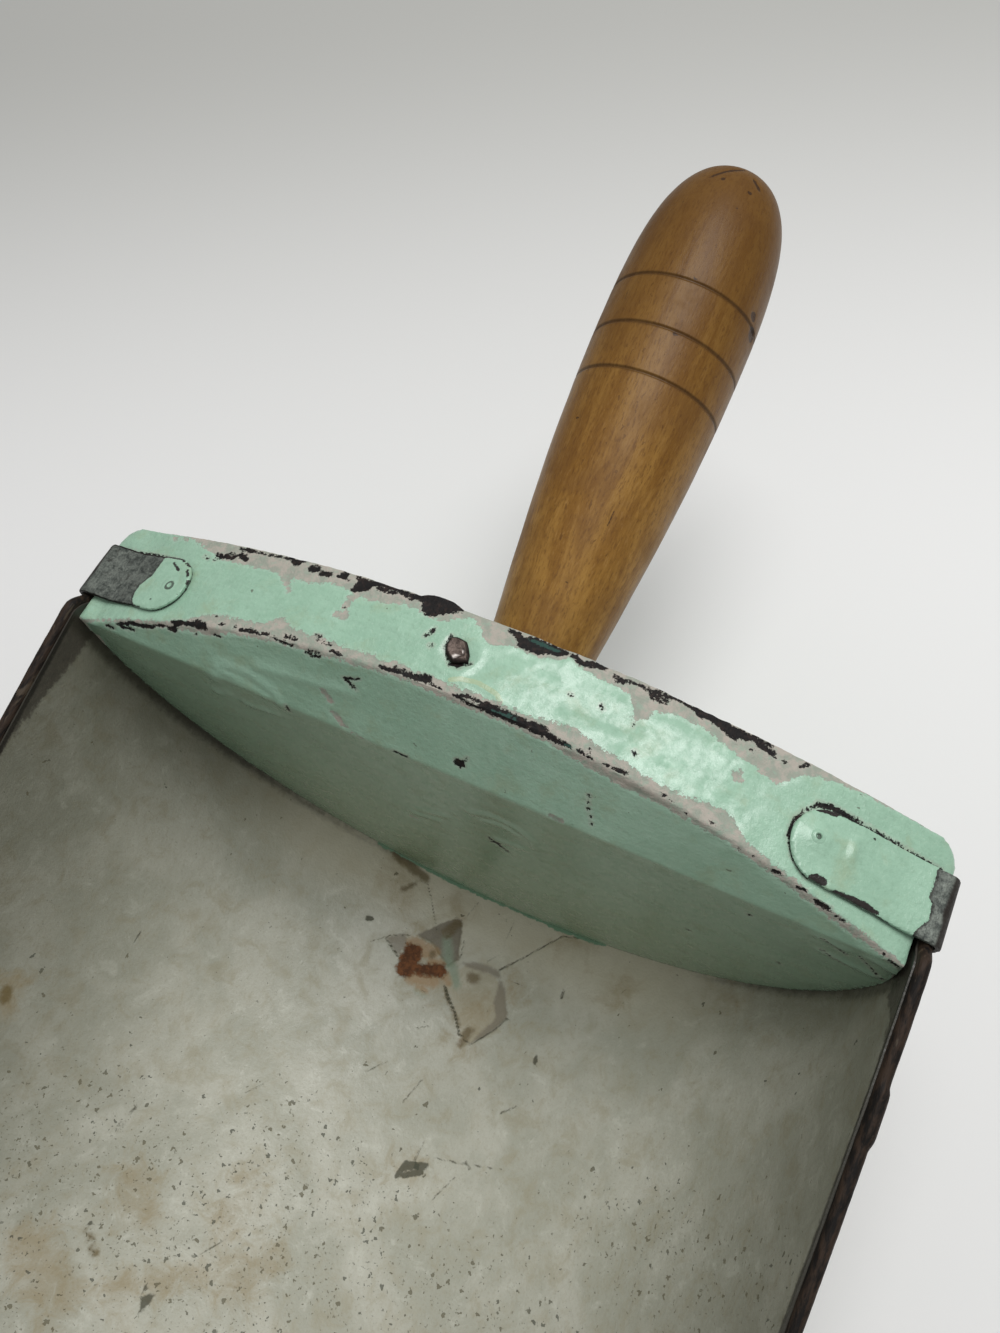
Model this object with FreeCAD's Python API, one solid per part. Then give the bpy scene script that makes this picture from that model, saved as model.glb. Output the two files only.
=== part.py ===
import FreeCAD, Part
import math
import os

from FreeCAD import Vector

# Hand dustpan: a half-round wooden back board, a sheet-metal pan bent round its
# edge, a metal strap over the joint and a turned wooden handle.
#
# Working frame, millimetres: X to the right, Y from the pan towards the handle,
# Z up. The board's front face is the plane Y = 0, and Z = 0 is the height of the
# straight crease between its two top corners, which is also the centre of the
# half-round. placed() moves the finished pieces to the row frame.

# ---------------------------------------------------------------- back board
board_radius = 89.0        # half-round edge that the sheet is bent round
board_thickness = 25.4
crown_height = 19.0        # top edge's arc above the crease
bevel_angle = 24.0         # upper strip of the front face leans back this much
shoulder_y = 19.0          # behind this the board is proud of the sheet
shoulder_proud = 4.2       # how far the shoulder stands out past board_radius
back_round = 4.6           # roundover of the shoulder's back edge
crease_round = 1.2         # worn arris along the crease

# ---------------------------------------------------------------------- pan
sheet_thickness = 0.5
sheet_spread = 1.3         # the sheet is bent this much wider than the board
sheet_gap = 0.15           # board's round edge to the sheet, where they are nearest
sheet_shift_x = -0.7       # sheet, strap and shoulder sit off the front half-round's middle
shoulder_gap = 0.1         # shoulder to the sheet's end and the hem's end
pan_length = 210.0         # board's front face to the middle of the lip
lip_bulge = 24.0           # the lip's middle is this far ahead of its sides
rim_rise = 1.4             # middle of the hem above the bent sheet's axis, at the board
rim_slope_angle = 11.5     # the rims fall this much towards the lip
rim_bend_radius = 8.0      # where the level rim under the strap starts to fall

# ----------------------------------------------------------- hem and its wire
wire_radius = 0.8
wire_gap = 0.1
hem_offset = 0.2           # hem stands this far out of the pan's inner face
wire_end_inset = 1.0       # wire stops this far behind the lip

# -------------------------------------------------------------------- strap
strap_width = 13.5
strap_thickness = 1.0
strap_gap = 0.1            # strap to the sheet, to the hem and to the board
strap_front_y = 5.4
strap_lift_inset = 4.5     # this near the board's ends the strap leaves the top for the hem
strap_end_left = 22.5      # board's left end to the strap's left tip
strap_end_right = 25.5     # board's right end to the strap's right tip

# ------------------------------------------------------- strap nails and tacks
tack_shank_radius = 0.9
tack_head_radius = 2.5
tack_head_height = 0.9
nail_taper = 3.0           # a nail's point is this many shank radii long
tack_length = 14.0
tack_count = 5
tack_span_angle = 130.0    # between the first and the last tack in the round edge
strap_nail_inset = 5.0     # strap's rounded tip to the nail
pilot_gap = 0.05           # shank to the wood and the metal round it

# ------------------------------------------------------------------- handle
handle_axis_z = -23.6      # where the axis leaves the board's back face
handle_tilt_angle = 15.7
handle_length = 141.0
neck_radius = 10.3
widest_radius = 17.9
widest_at = 99.0
neck_swell = 14.0          # radius that steers the neck's curve
neck_steer_at = 35.0
widest_steer_at = 60.0
end_bluntness = 0.72       # 0.552 would make the end a quarter ellipse
groove_depth = 0.45
groove_width = 1.1
groove_places = (78.8, 90.1, 102.4)
tenon_radius = 8.0
tenon_length = 19.0
tenon_gap = 0.1

# -------------------------------------------------------------- handle nail
handle_nail_x = -3.5
handle_nail_y = 16.7
handle_nail_length = 50.0
handle_nail_shank_radius = 1.4
handle_nail_head_width = 5.2
handle_nail_head_height = 1.1
handle_nail_head_chamfer = 0.35

# ------------------------------------------------------------ worked-out sizes
shoulder_radius = board_radius + shoulder_proud
crown_radius = (board_radius ** 2 + crown_height ** 2) / (2 * crown_height)
crown_centre_z = crown_height - crown_radius
sheet_inner_radius = board_radius + sheet_spread
trough_z = math.sqrt((sheet_spread - sheet_gap) ** 2 - sheet_shift_x ** 2)
trough = Vector(sheet_shift_x, 0, trough_z)                # on the bent sheet's axis
sheet_outer_radius = sheet_inner_radius + sheet_thickness
sheet_back_y = shoulder_y - shoulder_gap
rim_back_y = shoulder_y + 1                                # hems are made this long, then cut
hem_bore_radius = wire_radius + wire_gap
hem_radius = hem_bore_radius + sheet_thickness
hem_centre_x = sheet_inner_radius + hem_offset + hem_radius
rim_height = trough_z + rim_rise
rim_slope = math.tan(math.radians(rim_slope_angle))
rim_bend_run = rim_bend_radius * math.tan(math.radians(rim_slope_angle / 2))
lip_radius = (sheet_outer_radius ** 2 + lip_bulge ** 2) / (2 * lip_bulge)
lip_centre_y = lip_radius - pan_length
strap_inner_radius = sheet_outer_radius + strap_gap
strap_outer_radius = strap_inner_radius + strap_thickness
strap_middle_y = strap_front_y + strap_width / 2
strap_lift_x = board_radius - strap_lift_inset
strap_tip_left_x = strap_end_left - board_radius
strap_tip_right_x = board_radius - strap_end_right
pilot_radius = tack_shank_radius + pilot_gap
handle_tilt = math.radians(handle_tilt_angle)
handle_direction = Vector(0, math.cos(handle_tilt), math.sin(handle_tilt))
handle_foot = Vector(0, board_thickness, handle_axis_z)
reach = 2 * (pan_length + handle_length)      # longer than the whole object


# ------------------------------------------------------------------- helpers
def crown_z(x):
    """Height of the board's crowned top at x."""
    return crown_centre_z + math.sqrt(crown_radius ** 2 - x ** 2)


def rim_z(y):
    """Height of the hem's middle at y: level behind Y = 0, then falling."""
    return rim_height + rim_slope * min(y, 0.0)


def cylinder_along_y(radius, y0, y1, x=0.0, z=0.0):
    return Part.makeCylinder(radius, y1 - y0, Vector(x, y0, z), Vector(0, 1, 0))


def prism_along_x(points_yz):
    """A prism as wide as the whole object, from its outline in the YZ plane."""
    points = [Vector(-reach / 2, y, z) for y, z in points_yz]
    outline = Part.makePolygon(points + [points[0]])
    return Part.Face(outline).extrude(Vector(reach, 0, 0))


def mirrored(shape):
    return shape.mirror(Vector(0, 0, 0), Vector(1, 0, 0))


def lip_cylinder(inset=0.0):
    """Upright cylinder whose front wall cuts the pan's curved lip."""
    foot = Vector(0, lip_centre_y, -reach / 2)
    return Part.makeCylinder(lip_radius - inset, reach, foot)


def revolved(curves):
    """Solid turned about Z from the half outline that the curves close."""
    edges = [curve.toShape() for curve in curves]
    return Part.Face(Part.Wire(edges)).revolve(Vector(0, 0, 0), Vector(0, 0, 1), 360)


def aimed(shape, foot, direction):
    """A nail made point down at the origin, moved to foot and turned."""
    shape.Placement = FreeCAD.Placement(foot, FreeCAD.Rotation(Vector(0, 0, -1), direction))
    return shape


def tack(foot, direction):
    """Tack with a low domed head; foot is in the middle of the head's underside."""
    dome_radius = (tack_head_radius ** 2 + tack_head_height ** 2) / (2 * tack_head_height)
    half_way = math.asin(tack_head_radius / dome_radius) / 2
    centre_z = tack_head_height - dome_radius
    top = Vector(0, 0, tack_head_height)
    middle = Vector(dome_radius * math.sin(half_way), 0, centre_z + dome_radius * math.cos(half_way))
    rim = Vector(tack_head_radius, 0, 0)
    neck = Vector(tack_shank_radius, 0, 0)
    point = Vector(0, 0, -tack_length)
    taper = Vector(tack_shank_radius, 0, nail_taper * tack_shank_radius - tack_length)
    shape = revolved([
        Part.Arc(top, middle, rim),
        Part.LineSegment(rim, neck),
        Part.LineSegment(neck, taper),
        Part.LineSegment(taper, point),
        Part.LineSegment(point, top),
    ])
    return aimed(shape, foot, direction)


def tack_pilot(foot, direction, depth):
    """Hole for a tack, from just outside the strap to depth."""
    start = foot - direction * tack_head_height
    return Part.makeCylinder(pilot_radius, depth + tack_head_height, start, direction)


# --------------------------------------------------- where the tacks are driven
def edge_tack_places():
    """Foot and direction of each tack round the half-round edge."""
    places = []
    first_angle = -90.0 - tack_span_angle / 2
    step = tack_span_angle / (tack_count - 1)
    for index in range(tack_count):
        angle = math.radians(first_angle + index * step)
        outward = Vector(math.cos(angle), 0, math.sin(angle))
        foot = trough + outward * strap_outer_radius + Vector(0, strap_middle_y, 0)
        places.append((foot, outward * -1))
    return places


def strap_nail_place(tip_x):
    """Foot and direction of the nail in a folded strap end."""
    x = tip_x + math.copysign(strap_nail_inset, tip_x)
    outward = Vector(x, 0, crown_z(x) - crown_centre_z)
    outward.normalize()
    centre = Vector(0, strap_middle_y, crown_centre_z)
    foot = centre + outward * (crown_radius + strap_gap + strap_thickness)
    return foot, outward * -1


def all_tack_places():
    top = [strap_nail_place(strap_tip_left_x), strap_nail_place(strap_tip_right_x)]
    return top + edge_tack_places()


# ---------------------------------------------------------------- back board
def handle_nail_foot():
    """Middle of the head's underside, on the highest wood that the head covers."""
    near_x = max(abs(handle_nail_x) - handle_nail_head_width / 2, 0.0)
    return Vector(handle_nail_x, handle_nail_y, crown_z(near_x))


def handle_nail_pilot():
    """Hole for the nail through the board's top and the tenon."""
    radius = handle_nail_shank_radius + pilot_gap
    return Part.makeCylinder(radius, handle_nail_length + pilot_gap, handle_nail_foot(), Vector(0, 0, -1))


def tenon(radius, length, start):
    """Round tenon in line with the handle, from start outside to length inside."""
    foot = handle_foot + handle_direction * start
    return Part.makeCylinder(radius, length + start, foot, handle_direction * -1)


def round_crease(board):
    """Rounds the arris between the front face and its bevelled upper strip."""
    for edge in board.Edges:
        box = edge.BoundBox
        on_crease = abs(box.ZMin) < 0.01 and abs(box.ZMax) < 0.01 and abs(box.YMax) < 0.01
        if on_crease and box.XLength > board_radius:
            return board.makeFillet(crease_round, [edge])
    raise ValueError("no crease edge found")


def make_back_board():
    front = cylinder_along_y(board_radius, 0, shoulder_y)
    shoulder = cylinder_along_y(shoulder_radius, shoulder_y, board_thickness, sheet_shift_x)
    back_edges = [e for e in shoulder.Edges if e.BoundBox.YMin > board_thickness - 0.01]
    shoulder = shoulder.makeFillet(back_round, back_edges)
    crown = cylinder_along_y(crown_radius, 0, board_thickness, 0, crown_centre_z)
    board = front.fuse(shoulder).common(crown).removeSplitter()
    above = crown_height + 1
    lean = above * math.tan(math.radians(bevel_angle))
    board = board.cut(prism_along_x([(0, 0), (lean, above), (-1, above), (-1, 0)]))
    board = round_crease(board)
    cutters = [tenon(tenon_radius + tenon_gap, tenon_length + tenon_gap, board_thickness)]
    cutters.append(handle_nail_pilot())
    for foot, direction in all_tack_places():
        cutters.append(tack_pilot(foot, direction, tack_length + pilot_gap))
    return board.cut(cutters).removeSplitter()


# ----------------------------------------------------------------------- pan
# The pan is modelled about X = 0 and then moved sideways onto the board.
def rim_path():
    """Middle line of the right hem, back to front.

    It is level under the strap, bends down at the board's front face, runs
    straight to the height of the trough's axis and then follows the round side
    of the trough, which a sloping plane meets in an ellipse.
    """
    slope = math.radians(rim_slope_angle)
    downhill = Vector(0, -math.cos(slope), -math.sin(slope))
    back = Vector(hem_centre_x, rim_back_y, rim_height)
    corner = Vector(hem_centre_x, 0, rim_height)
    bend_start = corner + Vector(0, rim_bend_run, 0)
    bend_end = corner + downhill * rim_bend_run
    sagitta = rim_bend_radius * (1 / math.cos(slope / 2) - 1)
    inward = (bend_start + bend_end) * 0.5 - corner
    inward.normalize()
    axis_y = -rim_rise / rim_slope
    level_end = Vector(hem_centre_x, axis_y, trough_z)
    centre = Vector(0, axis_y, trough_z)
    ellipse = Part.Ellipse(centre + downhill * (hem_centre_x / math.sin(slope)), level_end, centre)
    drop = trough_z - rim_z(-pan_length)
    low_x = math.sqrt(hem_centre_x ** 2 - drop ** 2)
    angles = [ellipse.parameter(Vector(low_x, -pan_length, trough_z - drop)), ellipse.parameter(level_end)]
    curves = [
        Part.LineSegment(back, bend_start),
        Part.Arc(bend_start, corner + inward * sagitta, bend_end),
        Part.LineSegment(bend_end, level_end),
        Part.ArcOfEllipse(ellipse, min(angles), max(angles)),
    ]
    return Part.Wire([curve.toShape() for curve in curves])


def rim_pipe(radius):
    """Solid of the right hem's path with a round section."""
    back = Vector(hem_centre_x, rim_back_y, rim_height)
    section = Part.Wire(Part.makeCircle(radius, back, Vector(0, 1, 0)))
    return rim_path().makePipeShell([section], True, True)


def sheet_trough():
    """The bent sheet before its rims and lip are cut: a U with upright sides."""
    top = rim_height + 1
    outer, inner = sheet_outer_radius, sheet_inner_radius
    y, z = sheet_back_y, trough_z
    outline = [
        Part.LineSegment(Vector(outer, y, top), Vector(outer, y, z)),
        Part.Arc(Vector(outer, y, z), Vector(0, y, z - outer), Vector(-outer, y, z)),
        Part.LineSegment(Vector(-outer, y, z), Vector(-outer, y, top)),
        Part.LineSegment(Vector(-outer, y, top), Vector(-inner, y, top)),
        Part.LineSegment(Vector(-inner, y, top), Vector(-inner, y, z)),
        Part.Arc(Vector(-inner, y, z), Vector(0, y, z - inner), Vector(inner, y, z)),
        Part.LineSegment(Vector(inner, y, z), Vector(inner, y, top)),
        Part.LineSegment(Vector(inner, y, top), Vector(outer, y, top)),
    ]
    face = Part.Face(Part.Wire([curve.toShape() for curve in outline]))
    return face.extrude(Vector(0, -(pan_length + sheet_back_y + 1), 0))


def above_rims():
    """Everything above the line of the hems' middles."""
    front_y, back_y, top = -(pan_length + 2), shoulder_y + 1, reach / 4
    line = [(front_y, rim_z(front_y)), (0, rim_height), (back_y, rim_height)]
    return prism_along_x(line + [(back_y, top), (front_y, top)])


def behind_sheet():
    """Everything behind the plane where the sheet and its hems end."""
    far = reach / 4
    return prism_along_x([(sheet_back_y, -far), (far, -far), (far, far), (sheet_back_y, far)])


def make_pan_sheet():
    hem = rim_pipe(hem_radius)
    bore = rim_pipe(hem_bore_radius)
    sheet = sheet_trough().cut(above_rims())
    sheet = sheet.fuse([hem, mirrored(hem)])
    sheet = sheet.cut([bore, mirrored(bore), behind_sheet()])
    sheet = sheet.common(lip_cylinder())
    sheet.translate(Vector(sheet_shift_x, 0, 0))
    pilots = [tack_pilot(foot, direction, tack_length) for foot, direction in edge_tack_places()]
    return sheet.cut(pilots)


def make_rim_wires():
    """Right and left wire that the rims' hems are rolled round."""
    wire = rim_pipe(wire_radius).common(lip_cylinder(wire_end_inset)).cut(behind_sheet())
    wires = [wire, mirrored(wire)]
    for each in wires:
        each.translate(Vector(sheet_shift_x, 0, 0))
    return wires


# --------------------------------------------------------------------- strap
def turned(vector, angle):
    """The XZ vector turned by angle, from +X towards +Z."""
    cosine, sine = math.cos(angle), math.sin(angle)
    return Vector(vector.x * cosine - vector.z * sine, 0, vector.x * sine + vector.z * cosine)


def strap_side(side, tip_x, grow):
    """Points of one strap line, grow outside its inner line, side being 1 or -1.

    They are worked out at the right for both sides and then mirrored for the
    left. From the tip on the board's top to where the strap meets the sheet:
    tip, lift-off, on the hem's near side, over the hem, on the hem's far side,
    and on the sheet.
    """
    wrap = hem_radius + strap_gap
    seat = crown_radius + strap_gap
    crown = Vector(0, 0, crown_centre_z)
    centre = Vector(side * sheet_shift_x, 0, trough_z)
    hem = Vector(centre.x + hem_centre_x, 0, rim_height)
    tip = Vector(tip_x, 0, crown_z(tip_x)) - crown
    tip.normalize()
    lift = Vector(strap_lift_x, 0, crown_z(strap_lift_x)) - crown
    lift.normalize()
    lift_foot = crown + lift * seat
    to_hem = hem - lift_foot
    near = turned(to_hem * (1 / to_hem.Length), math.pi / 2 + math.asin(wrap / to_hem.Length))
    out = hem - centre
    far = turned(out * (1 / out.Length), -math.acos((strap_inner_radius - wrap) / out.Length))
    over = near + far
    over.normalize()
    bisector = (lift + near) * (1 / (1 + lift.dot(near)))
    points = [
        crown + tip * (seat + grow),
        lift_foot + bisector * grow,
        hem + near * (wrap + grow),
        hem + over * (wrap + grow),
        hem + far * (wrap + grow),
        centre + far * (strap_inner_radius + grow),
    ]
    return [Vector(side * point.x, 0, point.z) for point in points]


def strap_line(grow):
    """One line of the strap, from the right tip round the bottom to the left tip."""
    right = strap_side(1, strap_tip_right_x, grow)
    left = strap_side(-1, -strap_tip_left_x, grow)
    bottom = trough - Vector(0, 0, strap_inner_radius + grow)
    sides = []
    for tip, lift, near, over, far, sheet in (right, left):
        seat = crown_radius + strap_gap + grow
        middle_x = (tip.x + lift.x) / 2
        middle = Vector(middle_x, 0, crown_centre_z + math.sqrt(seat ** 2 - middle_x ** 2))
        sides.append([
            Part.Arc(tip, middle, lift),
            Part.LineSegment(lift, near),
            Part.Arc(near, over, far),
            Part.LineSegment(far, sheet),
        ])
    half_round = Part.Arc(right[-1], bottom, left[-1])
    return sides[0] + [half_round] + sides[1], right[0], left[0]


def strap_section():
    """Closed outline of the strap in the plane Y = 0."""
    outer, outer_right, outer_left = strap_line(strap_thickness)
    inner, inner_right, inner_left = strap_line(0.0)
    ends = [Part.LineSegment(outer_left, inner_left), Part.LineSegment(inner_right, outer_right)]
    edges = [curve.toShape() for curve in outer + inner + ends]
    return Part.Wire(Part.sortEdges(edges)[0])


def strap_tip_tool(tip_x):
    """What is cut from a strap end to round it in plan."""
    side = math.copysign(1, tip_x)
    radius = strap_width / 2
    centre_x = tip_x + side * radius
    low_x = min(tip_x - side, centre_x)
    corner = Vector(low_x, strap_front_y - 1, 0)
    block = Part.makeBox(radius + 1, strap_width + 2, 2 * crown_height, corner)
    disc = Part.makeCylinder(radius, 2 * crown_height, Vector(centre_x, strap_middle_y, 0))
    return block.cut(disc)


def make_back_strap():
    strap = Part.Face(strap_section()).extrude(Vector(0, strap_width, 0))
    strap.translate(Vector(0, strap_front_y, 0))
    cutters = [strap_tip_tool(strap_tip_left_x), strap_tip_tool(strap_tip_right_x)]
    for foot, direction in all_tack_places():
        cutters.append(tack_pilot(foot, direction, tack_length))
    return strap.cut(cutters)


# -------------------------------------------------------------------- handle
def handle_outline():
    """Half outline along +X from the foot to the end, as two Bezier curves."""
    swell = Part.BezierCurve()
    swell.setPoles([
        Vector(0, neck_radius, 0),
        Vector(neck_steer_at, neck_swell, 0),
        Vector(widest_steer_at, widest_radius, 0),
        Vector(widest_at, widest_radius, 0),
    ])
    end_run = handle_length - widest_at
    end = Part.BezierCurve()
    end.setPoles([
        Vector(widest_at, widest_radius, 0),
        Vector(widest_at + end_bluntness * end_run, widest_radius, 0),
        Vector(handle_length, end_bluntness * widest_radius, 0),
        Vector(handle_length, 0, 0),
    ])
    return swell, end


def surface_radius(curve, place):
    """Radius of an outline curve at place, by halving its parameter range."""
    low, high = curve.FirstParameter, curve.LastParameter
    for _ in range(40):
        middle = (low + high) / 2
        if curve.value(middle).x < place:
            low = middle
        else:
            high = middle
    return curve.value(low).y


def groove_ring(place):
    """V-shaped ring that cuts one scribed line at place along the handle."""
    swell, end = handle_outline()
    radius = surface_radius(swell if place < widest_at else end, place)
    points = [
        Vector(place - groove_width, radius + groove_depth, 0),
        Vector(place, radius - groove_depth, 0),
        Vector(place + groove_width, radius + groove_depth, 0),
    ]
    face = Part.Face(Part.makePolygon(points + [points[0]]))
    return face.revolve(Vector(0, 0, 0), Vector(1, 0, 0), 360)


def turned_body():
    """The handle outside the board, on the X axis with its foot at the origin."""
    swell, end = handle_outline()
    root = -neck_radius
    corners = [Vector(handle_length, 0, 0), Vector(root, 0, 0), Vector(root, neck_radius, 0)]
    straight = Part.makePolygon(corners + [Vector(0, neck_radius, 0)])
    wire = Part.Wire([swell.toShape(), end.toShape()] + straight.Edges)
    body = Part.Face(wire).revolve(Vector(0, 0, 0), Vector(1, 0, 0), 360)
    return body.cut([groove_ring(place) for place in groove_places])


def make_handle():
    body = turned_body()
    body.rotate(Vector(0, 0, 0), Vector(0, 0, 1), 90)
    body.rotate(Vector(0, 0, 0), Vector(1, 0, 0), handle_tilt_angle)
    body.translate(handle_foot)
    far = reach / 4
    front_half = [(-far, -far), (board_thickness, -far), (board_thickness, far), (-far, far)]
    body = body.cut(prism_along_x(front_half))
    body = body.fuse(tenon(tenon_radius, tenon_length, neck_radius)).removeSplitter()
    return body.cut(handle_nail_pilot())


# --------------------------------------------------------------- handle nail
def make_handle_nail():
    """Nail with a square head; made point down at the origin."""
    half = handle_nail_head_width / 2
    head = Part.makeBox(2 * half, 2 * half, handle_nail_head_height, Vector(-half, -half, 0))
    top_edges = [edge for edge in head.Edges if edge.BoundBox.ZMin > handle_nail_head_height / 2]
    head = head.makeChamfer(handle_nail_head_chamfer, top_edges)
    radius = handle_nail_shank_radius
    inside = Vector(0, 0, handle_nail_head_height / 2)
    shoulder = Vector(radius, 0, inside.z)
    point = Vector(0, 0, -handle_nail_length)
    taper = Vector(radius, 0, nail_taper * radius - handle_nail_length)
    shank = revolved([
        Part.LineSegment(inside, shoulder),
        Part.LineSegment(shoulder, taper),
        Part.LineSegment(taper, point),
        Part.LineSegment(point, inside),
    ])
    return aimed(head.fuse(shank).removeSplitter(), handle_nail_foot(), Vector(0, 0, -1))


# ------------------------------------------------------------- all the pieces
def make_pieces():
    left, right = strap_nail_place(strap_tip_left_x), strap_nail_place(strap_tip_right_x)
    wires = make_rim_wires()
    return {
        "back_board": make_back_board(),
        "pan_sheet": make_pan_sheet(),
        "rim_wire_right": wires[0],
        "rim_wire_left": wires[1],
        "back_strap": make_back_strap(),
        "strap_nail_left": tack(*left),
        "strap_nail_right": tack(*right),
        "strap_tacks": Part.makeCompound([tack(*place) for place in edge_tack_places()]),
        "handle": make_handle(),
        "handle_nail": make_handle_nail(),
    }


def placed(pieces):
    """Moves the pieces so that the origin is under the middle of the object."""
    back_y = pieces["handle"].optimalBoundingBox().YMax
    shift = Vector(-sheet_shift_x, (pan_length - back_y) / 2, shoulder_radius)
    for shape in pieces.values():
        shape.translate(shift)
    return shift


os.makedirs("parts", exist_ok=True)
made = make_pieces()
origin_shift = placed(made)
print("origin shift", [round(value, 3) for value in origin_shift])
for name, shape in made.items():
    shape.exportStep("parts/" + name + ".step")
    print(name, "valid", shape.isValid(), "solids", len(shape.Solids), "volume", round(shape.Volume, 1))
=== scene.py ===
# %% [markdown]
# A hand dustpan, seen from above: a thick half-round board painted mint green, a
# grey-white sheet-metal pan bent round it, a metal strap nailed over the joint and
# a varnished, turned handle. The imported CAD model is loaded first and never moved:
# it gives every place and size. Each visible part is then either given a finish,
# or modelled again in more detail and put exactly where its CAD node was.

# %% Load the frame
import math

import bpy
import numpy as np
from mathutils import Euler, Matrix, Vector, noise


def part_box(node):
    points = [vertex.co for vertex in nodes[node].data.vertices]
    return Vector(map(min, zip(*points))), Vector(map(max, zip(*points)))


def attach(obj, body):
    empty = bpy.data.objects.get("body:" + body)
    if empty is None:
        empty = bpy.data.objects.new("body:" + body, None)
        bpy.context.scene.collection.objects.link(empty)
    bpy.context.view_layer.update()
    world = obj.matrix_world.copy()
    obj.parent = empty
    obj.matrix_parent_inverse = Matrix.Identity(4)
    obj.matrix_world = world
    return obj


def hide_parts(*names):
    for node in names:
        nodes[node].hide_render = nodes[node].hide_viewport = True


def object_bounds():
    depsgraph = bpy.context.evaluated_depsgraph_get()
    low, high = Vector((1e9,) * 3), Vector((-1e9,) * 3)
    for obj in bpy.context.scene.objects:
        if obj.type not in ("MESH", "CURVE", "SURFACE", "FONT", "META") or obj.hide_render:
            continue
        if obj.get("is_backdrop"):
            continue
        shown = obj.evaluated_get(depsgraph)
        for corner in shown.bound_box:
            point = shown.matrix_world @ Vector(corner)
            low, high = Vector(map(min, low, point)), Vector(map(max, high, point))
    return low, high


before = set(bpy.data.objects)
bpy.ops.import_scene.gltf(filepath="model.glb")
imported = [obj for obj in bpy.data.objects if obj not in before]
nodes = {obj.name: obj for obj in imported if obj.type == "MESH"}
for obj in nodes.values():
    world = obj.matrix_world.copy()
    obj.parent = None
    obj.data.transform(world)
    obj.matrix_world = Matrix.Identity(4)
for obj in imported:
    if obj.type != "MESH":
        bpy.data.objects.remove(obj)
cad_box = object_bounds()
print("nodes:", sorted(nodes))
print("size in mm:", [round(1000 * (hi - lo), 1) for lo, hi in zip(*cad_box)])

# %% [markdown]
# New pieces are modelled in millimetres about the middle of the board's crease,
# the straight line where its front face bends back, because that is where a maker
# would measure from. Two CAD boxes say where that point is. `finish` at the end
# of each piece shrinks it to metres and moves its mesh, so its object stays at 0.

# %% The board's own axes
MM = 0.001
SHOULDER_RADIUS = 93.2
board_low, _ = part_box("back_board")
handle_low, handle_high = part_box("handle")
crease = Vector((
    (handle_low.x + handle_high.x) / 2,
    board_low.y,
    board_low.z + SHOULDER_RADIUS * MM,
))
print("crease middle in mm:", [round(v * 1000, 2) for v in crease])

# %% [markdown]
# The camera stands above the pan's right side and looks down over the board to the
# handle, as someone does who holds the dustpan to look it over. Its lens is that
# of an ordinary phone.

# %% Camera
CAMERA_PLACE = Vector((58.42, -57.90, 189.67))
CAMERA_TURN = (27.889, 5.125, 25.766)
SENSOR_WIDTH = 36.0
LENS = 28.52
camera_data = bpy.data.cameras.new("camera")
camera_data.sensor_width = SENSOR_WIDTH
camera_data.lens = LENS
camera = bpy.data.objects.new("camera", camera_data)
bpy.context.scene.collection.objects.link(camera)
camera.location = crease + CAMERA_PLACE * MM
camera.rotation_euler = Euler([math.radians(angle) for angle in CAMERA_TURN])
bpy.context.scene.camera = camera
print("camera height above the floor in mm:", round(camera.location.z * 1000, 1))

# %% [markdown]
# Every new piece is shaped with Blender's own operators and modifiers, so a few
# short helpers come first: some that start a piece, one that adds and applies a
# modifier, one that joins or cuts two pieces, one that selects parts of a mesh by
# their place, and one that pushes the skin out or in. Pieces are in millimetres
# until `finish`.

# %% Modelling helpers
def only(piece):
    """Select one piece alone and make it active."""
    bpy.ops.object.select_all(action="DESELECT")
    piece.select_set(True)
    bpy.context.view_layer.objects.active = piece


def start(add, name, **settings):
    """Add a primitive, name it and put its place into its mesh."""
    add(**settings)
    piece = bpy.context.object
    piece.name = piece.data.name = name
    only(piece)
    bpy.ops.object.transform_apply(location=True, rotation=True, scale=True)
    return piece


def linked(name, data):
    """Put a mesh or curve into the scene as a piece."""
    piece = bpy.data.objects.new(name, data)
    bpy.context.scene.collection.objects.link(piece)
    return piece


def chain_of_edges(name, points):
    """A line of edges through a list of points."""
    mesh = bpy.data.meshes.new(name)
    mesh.from_pydata(points, [(i, i + 1) for i in range(len(points) - 1)], [])
    return linked(name, mesh)


def apply_modifier(piece, kind, **settings):
    """Add a modifier to a piece, set it and apply it."""
    only(piece)
    modifier = piece.modifiers.new(kind.lower(), kind)
    for key, value in settings.items():
        setattr(modifier, key, value)
    bpy.ops.object.modifier_apply(modifier=modifier.name)


def combine(piece, tool, operation):
    """Join, cut or intersect a piece with a tool, which is used up."""
    apply_modifier(piece, "BOOLEAN", object=tool, operation=operation, solver="EXACT")
    bpy.data.objects.remove(tool)


def edit(piece, part=None):
    """Enter edit mode for one kind of part, or with everything selected."""
    only(piece)
    bpy.ops.object.mode_set(mode="EDIT")
    bpy.ops.mesh.select_mode(type=part or "VERT")
    if not part:
        bpy.ops.mesh.select_all(action="SELECT")


def pick(piece, test, part="EDGE"):
    """Enter edit mode with just those parts selected that lie where the test says."""
    mesh = piece.data
    for group in (mesh.vertices, mesh.edges, mesh.polygons):
        group.foreach_set("select", [False] * len(group))
    if part == "VERT":
        for vertex in mesh.vertices:
            vertex.select = test(vertex.co)
    elif part == "EDGE":
        for line in mesh.edges:
            line.select = all(test(mesh.vertices[i].co) for i in line.vertices)
    else:
        for face in mesh.polygons:
            face.select = test(face.center)
    edit(piece, part)


def done():
    """Leave edit mode."""
    bpy.ops.object.mode_set(mode="OBJECT")


def face_outwards():
    bpy.ops.mesh.normals_make_consistent(inside=False)


def rows_of(layer, key):
    flat = np.empty(len(layer) * 3)
    layer.foreach_get(key, flat)
    return flat.reshape(-1, 3)


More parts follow.
